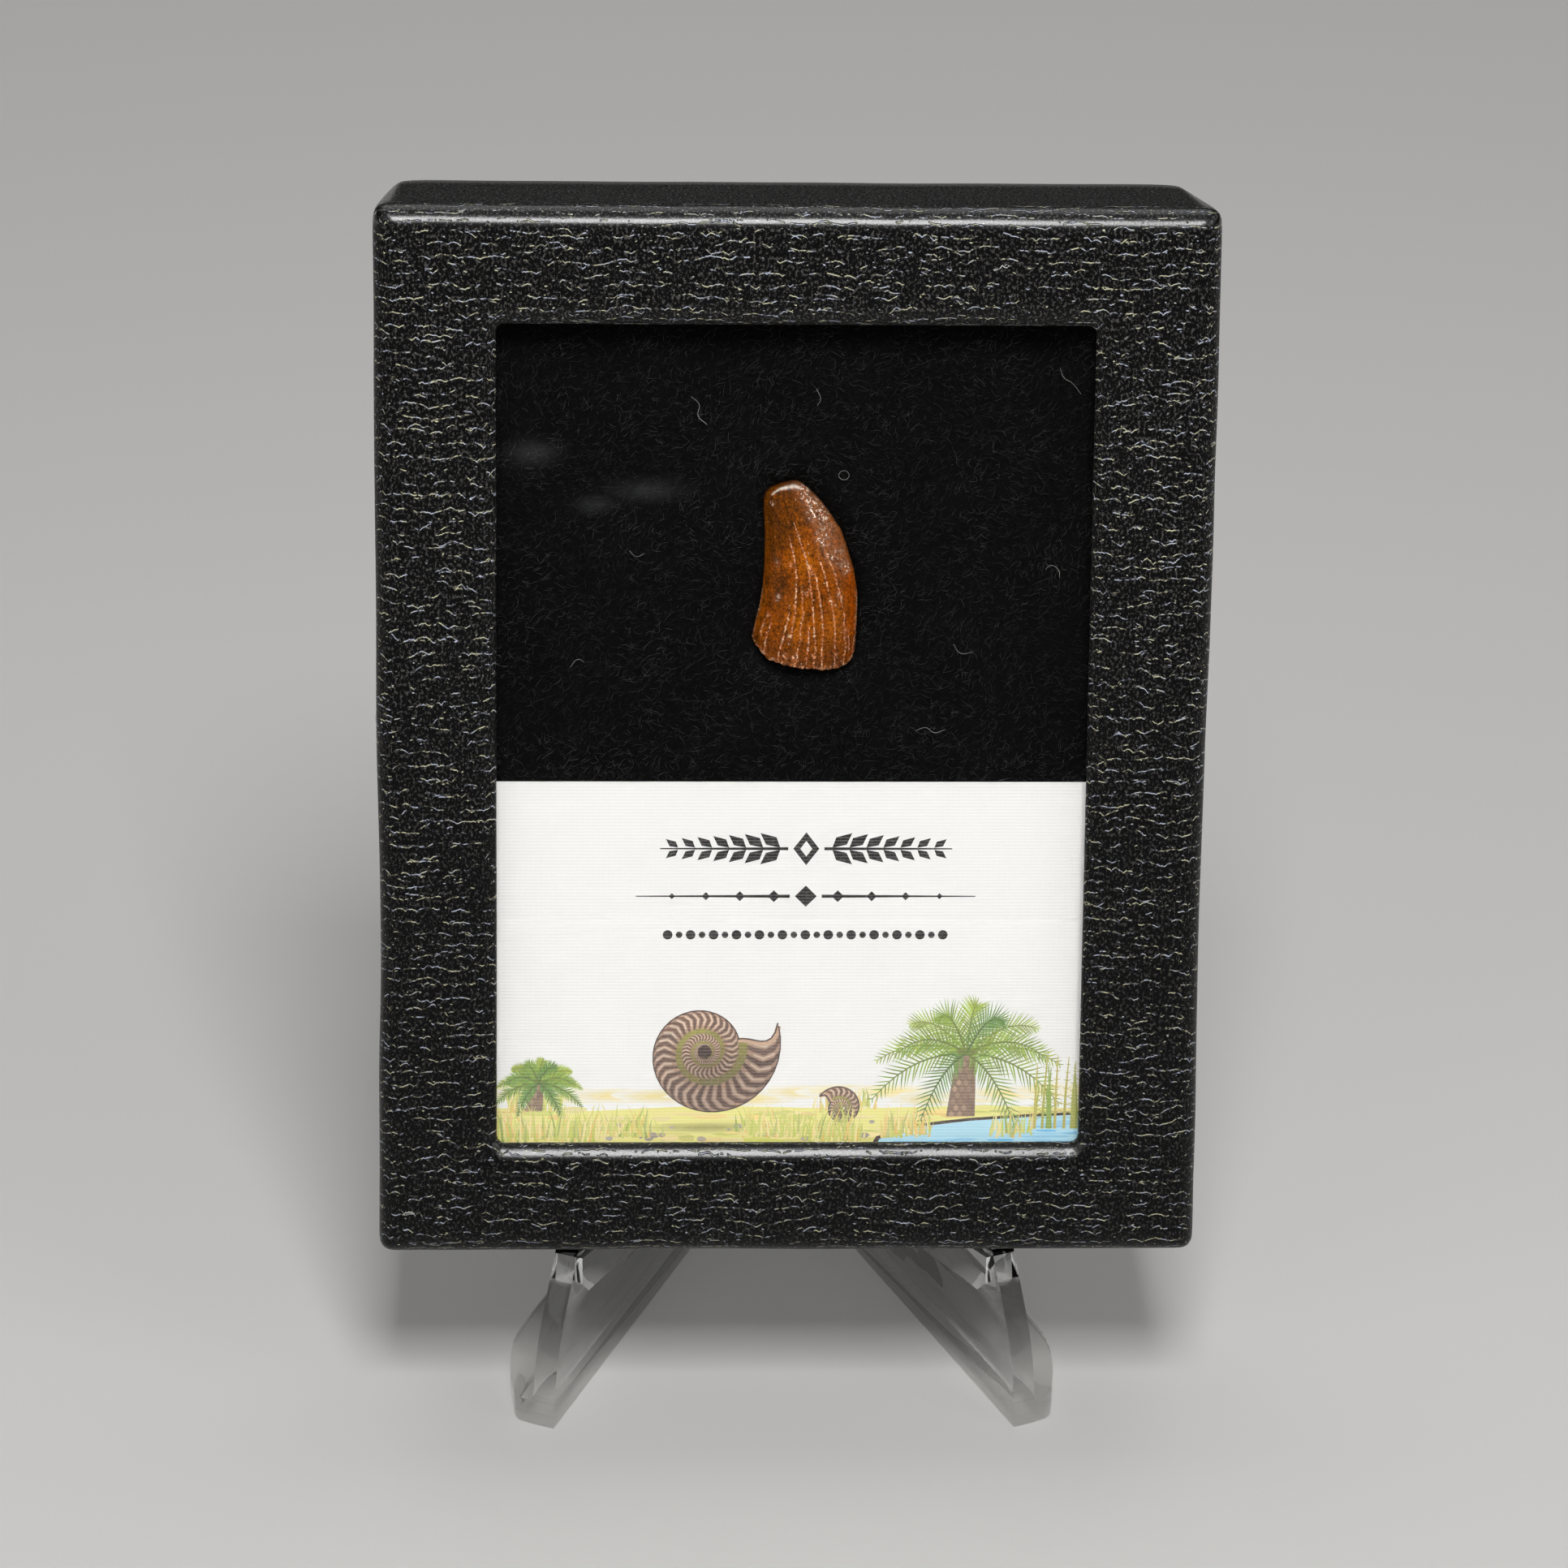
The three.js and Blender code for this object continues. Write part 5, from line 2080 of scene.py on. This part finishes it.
@dataclass
class LabelCard:
    """Printed card behind the pane, over the lower half of the pad. Millimetres of the case."""

    half_width: float = 32.0
    bottom: float = 5.5
    top: float = 48.4
    front: float = 3.7
    thickness: float = 0.35
    bleed: float = 0.04
    middle: float = 1.6
    sprig_level: float = 41.6
    sprig_reach: float = 14.6
    rule_level: float = 36.7
    dots_level: float = 32.7
    seed: int = 17
    finish: CardFinish = CardFinish()

    def ornaments(self, ink: Print) -> None:
        """Prints three ornamental rows at the head of the card: a sprig, lozenges on a rule, and dots.

        Args:
            ink: The print.
        """
        black, middle, rule = Ink.BLACK.value, self.middle, self.rule_level
        self.sprig(ink, black)
        for sign in (-1, 1):
            ink.stroke([(middle + sign * 1.6, rule), (middle + sign * 17.0, rule)], [0.34, 0.10], black)
            for step in range(4):
                size = 0.62 - 0.10 * step
                ink.lozenge((middle + sign * (3.2 + 3.4 * step), rule), (size, size), black)
        ink.lozenge((middle, rule), (1.1, 1.1), black)
        for step in range(-12, 13):
            size = 0.34 if step % 2 else 0.5
            ink.blob((middle + 1.15 * step, self.dots_level), (size, size), black, 10, 0.0)

    def sprig(self, ink: Print, colour: Colour) -> None:
        """Prints a level sprig of paired leaves that grow out from a lozenge, in a colour.

        Args:
            ink: The print.
            colour: Its colour.
        """
        middle, level, reach = self.middle, self.sprig_level, self.sprig_reach
        ink.lozenge((middle, level), (1.3, 1.7), colour)
        ink.lozenge((middle, level), (0.6, 0.8), Ink.PAPER.value)
        leaves = 7
        for sign in (-1, 1):
            ink.stroke([(middle + sign * 1.8, level), (middle + sign * reach, level)], [0.32, 0.12], colour)
            for leaf in range(leaves):
                root = 2.6 + (reach - 4.4) * leaf / (leaves - 1)
                size = 1.9 * (1 - 0.45 * leaf / leaves)
                for up in (-1, 1):
                    hip = (middle + sign * (root + size * 0.2), level + up * size * 0.62)
                    tip = (middle + sign * (root + size * 1.05), level + up * size * 0.85)
                    belly = (middle + sign * (root + size * 0.75), level + up * size * 0.22)
                    ink.area([(middle + sign * root, level + up * 0.1), hip, tip, belly], colour)

    def ground(self, ink: Print) -> None:
        """Prints the dunes, the meadow and the pool.

        Args:
            ink: The print.
        """
        rng, sand = ink.rng, Ink.SAND.value
        for step in range(15):
            x = -30 + 4.4 * step + rng.uniform(-1, 1)
            ink.wash((x, 15.9 + rng.uniform(-0.4, 0.7)), (4.6, 0.8), ink.vary(sand, 0.06))
        grown = [(32, 14.4), (20, 14.9), (6, 14.5), (-8, 14.9), (-20, 14.3), (-32, 14.7)]
        ink.area([(-32, 5.5), (32, 5.5), *grown], Ink.MEADOW.value)
        for _ in range(170):
            x, z = rng.uniform(-31, 31), rng.uniform(9.5, 14.4)
            patchy = rng.choice((Ink.GRASS, Ink.GRASS, Ink.SAND, Ink.OCHRE, Ink.SAND))
            tone = patchy.to(Ink.SAND, rng.uniform(0.15, 0.75))
            ink.blob((x, z), (rng.uniform(0.8, 2.6), rng.uniform(0.14, 0.4)), ink.vary(tone, 0.10), 9, 0.25)
        shore = [(7.5, 9.0), (9.0, 11.6), (13.0, 12.9), (18.0, 13.5), (24.0, 13.9), (32.0, 14.3)]
        ink.area([*shore, (32, 5.5), (7.5, 5.5)], ink.vary(Ink.UMBER.value, 0.0))
        pool = [(x + 0.35, z - 0.28) for x, z in shore[:-1]]
        ink.area([*pool, (32, 14.0), (32, 5.6), (7.9, 5.6)], Ink.SHALLOW.value)
        for _ in range(46):
            x = rng.uniform(11, 31)
            z = rng.uniform(9.4, 10.6 + (x - 9) * 0.13)
            tone = Ink.WATER.to(Ink.SHALLOW, rng.uniform(0, 1))
            ink.blob((x, z), (rng.uniform(0.9, 3.0), rng.uniform(0.08, 0.22)), ink.vary(tone, 0.05), 8, 0.2)

    def pebbles(self, ink: Print) -> None:
        """Strews pebbles over the shore.

        Args:
            ink: The print.
        """
        for _ in range(26):
            x, z = ink.rng.uniform(-20, 10), ink.rng.uniform(11.3, 13.2)
            size = ink.rng.uniform(0.16, 0.5)
            ink.blob((x, z), (size, size * 0.6), ink.vary(Ink.STONE.value, 0.25), 8, 0.12)

    def picture(self, ink: Print) -> None:
        """Prints the fossil shore: coiled shells, cycads, reeds, pebbles, grass and a pool.

        Args:
            ink: The print.
        """
        self.ground(ink)
        Grass((-27.0, -24.2, 4.5, 7.4), 14.6, 24, 2.6, 1.9).lay(ink)
        Cycad((17.5, 13.7), 6.6, 9.4).lay(ink)
        Cycad((-25.6, 14.3), 2.9, 4.3).lay(ink)
        ink.wash((-8.2, 12.55), (6.8, 0.60), Ink.SHADOW.value, Ink.MEADOW.value)
        Coil((-8.4, 20.5), 7.9, 3.3, 0.35, 30).lay(ink)
        ink.wash((5.6, 12.1), (2.5, 0.30), Ink.SHADOW.value, Ink.MEADOW.value)
        Coil((5.4, 14.6), 2.5, 2.3, 2.6, 20).lay(ink)
        self.pebbles(ink)
        Reeds().lay(ink)
        Grass((-30.0, -17.5, -15.0, -3.5, -1.0, 0.5, 10.5, 12.5, 22.5), 11.9, 36, 3.3, 2.4).lay(ink)
        Grass((-28.5, -26.0, -22.5, -20.0, 3.5, 6.0), 11.3, 40, 4.4, 2.4).lay(ink)

    def topmost(self, centres: np.ndarray, areas: Sequence[tuple[list[Point], Colour]]) -> np.ndarray:
        """Number of the last area laid over each place.

        Args:
            centres: Places on the card, one a row.
            areas: Outlines and colours, in the order they are laid.

        Returns:
            The numbers.
        """
        top = np.zeros(len(centres), dtype=int)
        order = np.argsort(centres[:, 0])
        across = centres[order, 0]
        for number, (outline, _) in enumerate(areas):
            corners = np.array(outline)
            low, high = corners.min(0), corners.max(0)
            near = order[slice(*np.searchsorted(across, (low[0], high[0])))]
            near = near[(centres[near, 1] >= low[1]) & (centres[near, 1] <= high[1])]
            if near.size:
                top[near[is_inside(centres[near], corners)]] = number
        return top

    def printed(self) -> Shape:
        """Face of the card, with every area of ink as its own faces, coloured by an ink attribute.

        Returns:
            The face.
        """
        ink = Print(self.seed)
        self.picture(ink)
        self.ornaments(ink)
        left, right, bottom, top = -self.half_width, self.half_width, self.bottom, self.top
        areas = [([(left, bottom), (right, bottom), (right, top), (left, top)], Ink.PAPER.value)]
        low, high = (left + self.bleed, bottom + self.bleed), (right - self.bleed, top - self.bleed)
        for outline, colour in ink.areas:
            kept = [(min(max(x, low[0]), high[0]), min(max(z, low[1]), high[1])) for x, z in outline]
            areas.append((kept, colour))
        points, edges = [], []
        for outline, _ in areas:
            start, count = len(points), len(outline)
            points.extend(Vector(corner) for corner in outline)
            edges.extend((start + index, start + (index + 1) % count) for index in range(count))
        verts, _, faces, *_ = delaunay_2d_cdt(points, edges, [], 0, 1e-4, False)
        flat = np.array([tuple(co) for co in verts])
        centres = flat[np.array([list(face) for face in faces])].mean(1)
        bm = bmesh.new()
        layer = bm.loops.layers.float_color.new("ink")
        made = [bm.verts.new((co.x, self.front, co.y)) for co in verts]
        for corners, number in zip(faces, self.topmost(centres, areas)):
            face = bm.faces.new([made[corner] for corner in corners])
            for loop in face.loops:
                loop[layer] = (*areas[number][1], 1.0)
        return bm

    def build(self) -> Shape:
        """Builds the card: the printed face, drawn back to its thickness and closed, with a plain back.

        Returns:
            The shape.
        """
        bm = self.printed()
        close_back(bm, self.front + self.thickness)
        layer = bm.loops.layers.float_color["ink"]
        behind = [face for face in bm.faces if face.calc_center_median().y > self.front + 0.01]
        for loop in (loop for face in behind for loop in face.loops):
            loop[layer] = (*Ink.PAPER.value, 1.0)
        return bm

    def dress(self) -> None:
        """Builds the card and puts it in the scene."""
        mesh = mesh_of(self.build(), "label_card_print", PLACE.matrix())
        hand_over(mesh, self.finish.material(), Slot.CARD, ["label_card"])


# ---- studio ---------------------------------------------------------------------------------------------


@dataclass(frozen=True)
class Softbox:
    """Soft lamp, aimed at a point. Metres and watts."""

    name: str
    place: Triple
    size: Point
    power: float
    aim: Triple = (0.0, 0.0, 0.06)

    def dress(self) -> None:
        """Hangs the lamp."""
        data = bpy.data.lights.new(self.name, "AREA")
        data.shape = "RECTANGLE"
        data.size, data.size_y = self.size
        data.energy = self.power
        lamp = bpy.data.objects.new(self.name, data)
        bpy.context.scene.collection.objects.link(lamp)
        lamp.location = self.place
        lamp.rotation_euler = (Vector(self.aim) - Vector(self.place)).to_track_quat("-Z", "Y").to_euler()


@dataclass
class Studio:
    """Pale floor, soft lamps, dim surroundings and the camera."""

    floor_half: float = 2.2
    floor_colour: Colour = (0.84, 0.83, 0.81)
    eye: Triple = (-0.02406, -0.52878, 0.33147)
    pitch: float = math.radians(27.231)
    yaw: float = math.radians(2.593)
    roll: float = math.radians(1.244)
    lens: float = 133.91
    sensor: float = 36.0
    lamps: Sequence[Softbox] = (
        Softbox("overhead", (0.02, -0.43, 0.69), (0.22, 0.28), 3.2),
        Softbox("left_fill", (-0.62, -0.62, 0.62), (0.6, 0.6), 0.55),
        Softbox("right_fill", (0.70, -0.42, 0.62), (0.4, 0.5), 0.85),
        Softbox("behind", (0.0, 0.80, 1.25), (1.3, 1.0), 3.4, (0.0, 0.40, 0.0)),
    )

    def floor(self) -> None:
        """Lays the floor."""
        bm = bmesh.new()
        bmesh.ops.create_grid(bm, x_segments=1, y_segments=1, size=self.floor_half)
        mesh = bpy.data.meshes.new("floor")
        bm.to_mesh(mesh)
        bm.free()
        graph = Graph("floor")
        graph.set(Base_Color=self.floor_colour, Roughness=0.65, Specular_IOR_Level=0.3)
        mesh.materials.append(graph.material)
        floor = bpy.data.objects.new("floor", mesh)
        bpy.context.scene.collection.objects.link(floor)

    def surroundings(self) -> None:
        """Sets a dim sky, darkest where the pane mirrors it."""
        world = bpy.data.worlds.new("studio")
        bpy.context.scene.world = world
        world.use_nodes = True
        tree = world.node_tree
        back = tree.nodes["Background"]
        back.inputs["Color"].default_value = (0.8, 0.8, 0.8, 1.0)
        coords = tree.nodes.new("ShaderNodeTexCoord")
        apart = tree.nodes.new("ShaderNodeSeparateXYZ")
        ease = tree.nodes.new("ShaderNodeMapRange")
        ease.interpolation_type = "SMOOTHSTEP"
        for key, value in {"From Min": 0.05, "From Max": 0.7, "To Min": 0.010, "To Max": 0.15}.items():
            ease.inputs[key].default_value = value
        tree.links.new(coords.outputs["Generated"], apart.inputs[0])
        tree.links.new(apart.outputs["Z"], ease.inputs["Value"])
        tree.links.new(ease.outputs[0], back.inputs["Strength"])

    def camera(self) -> None:
        """Sets up the camera, level turn first, then its roll."""
        data = bpy.data.cameras.new("camera")
        data.sensor_width = self.sensor
        data.lens = self.lens
        camera = bpy.data.objects.new("camera", data)
        bpy.context.scene.collection.objects.link(camera)
        turn = Matrix.Rotation(-self.yaw, 4, "Z") @ Matrix.Rotation(math.pi / 2 - self.pitch, 4, "X")
        camera.matrix_world = Matrix.Translation(self.eye) @ turn @ Matrix.Rotation(self.roll, 4, "Z")
        bpy.context.scene.camera = camera

    def dress(self) -> None:
        """Sets up the whole studio, shown without a film curve."""
        bpy.context.scene.view_settings.view_transform = "Standard"
        self.floor()
        self.surroundings()
        self.camera()
        for lamp in self.lamps:
            lamp.dress()


def main() -> None:
    """Builds every piece in order, then the studio."""
    logging.basicConfig(level=logging.INFO, format="%(name)s: %(message)s")
    tooth = Tooth()
    pad = FibrePad(tooth)
    CaseTray().dress()
    pad.dress()
    FeltNap(pad).dress()
    Lint(pad).dress()
    tooth.dress()
    LabelCard().dress()
    GlassPane().dress()
    CaseLid().dress()
    for side in Side:
        CasePin(side).dress()
    Easel().dress()
    Studio().dress()


if __name__ == "__main__":
    main()
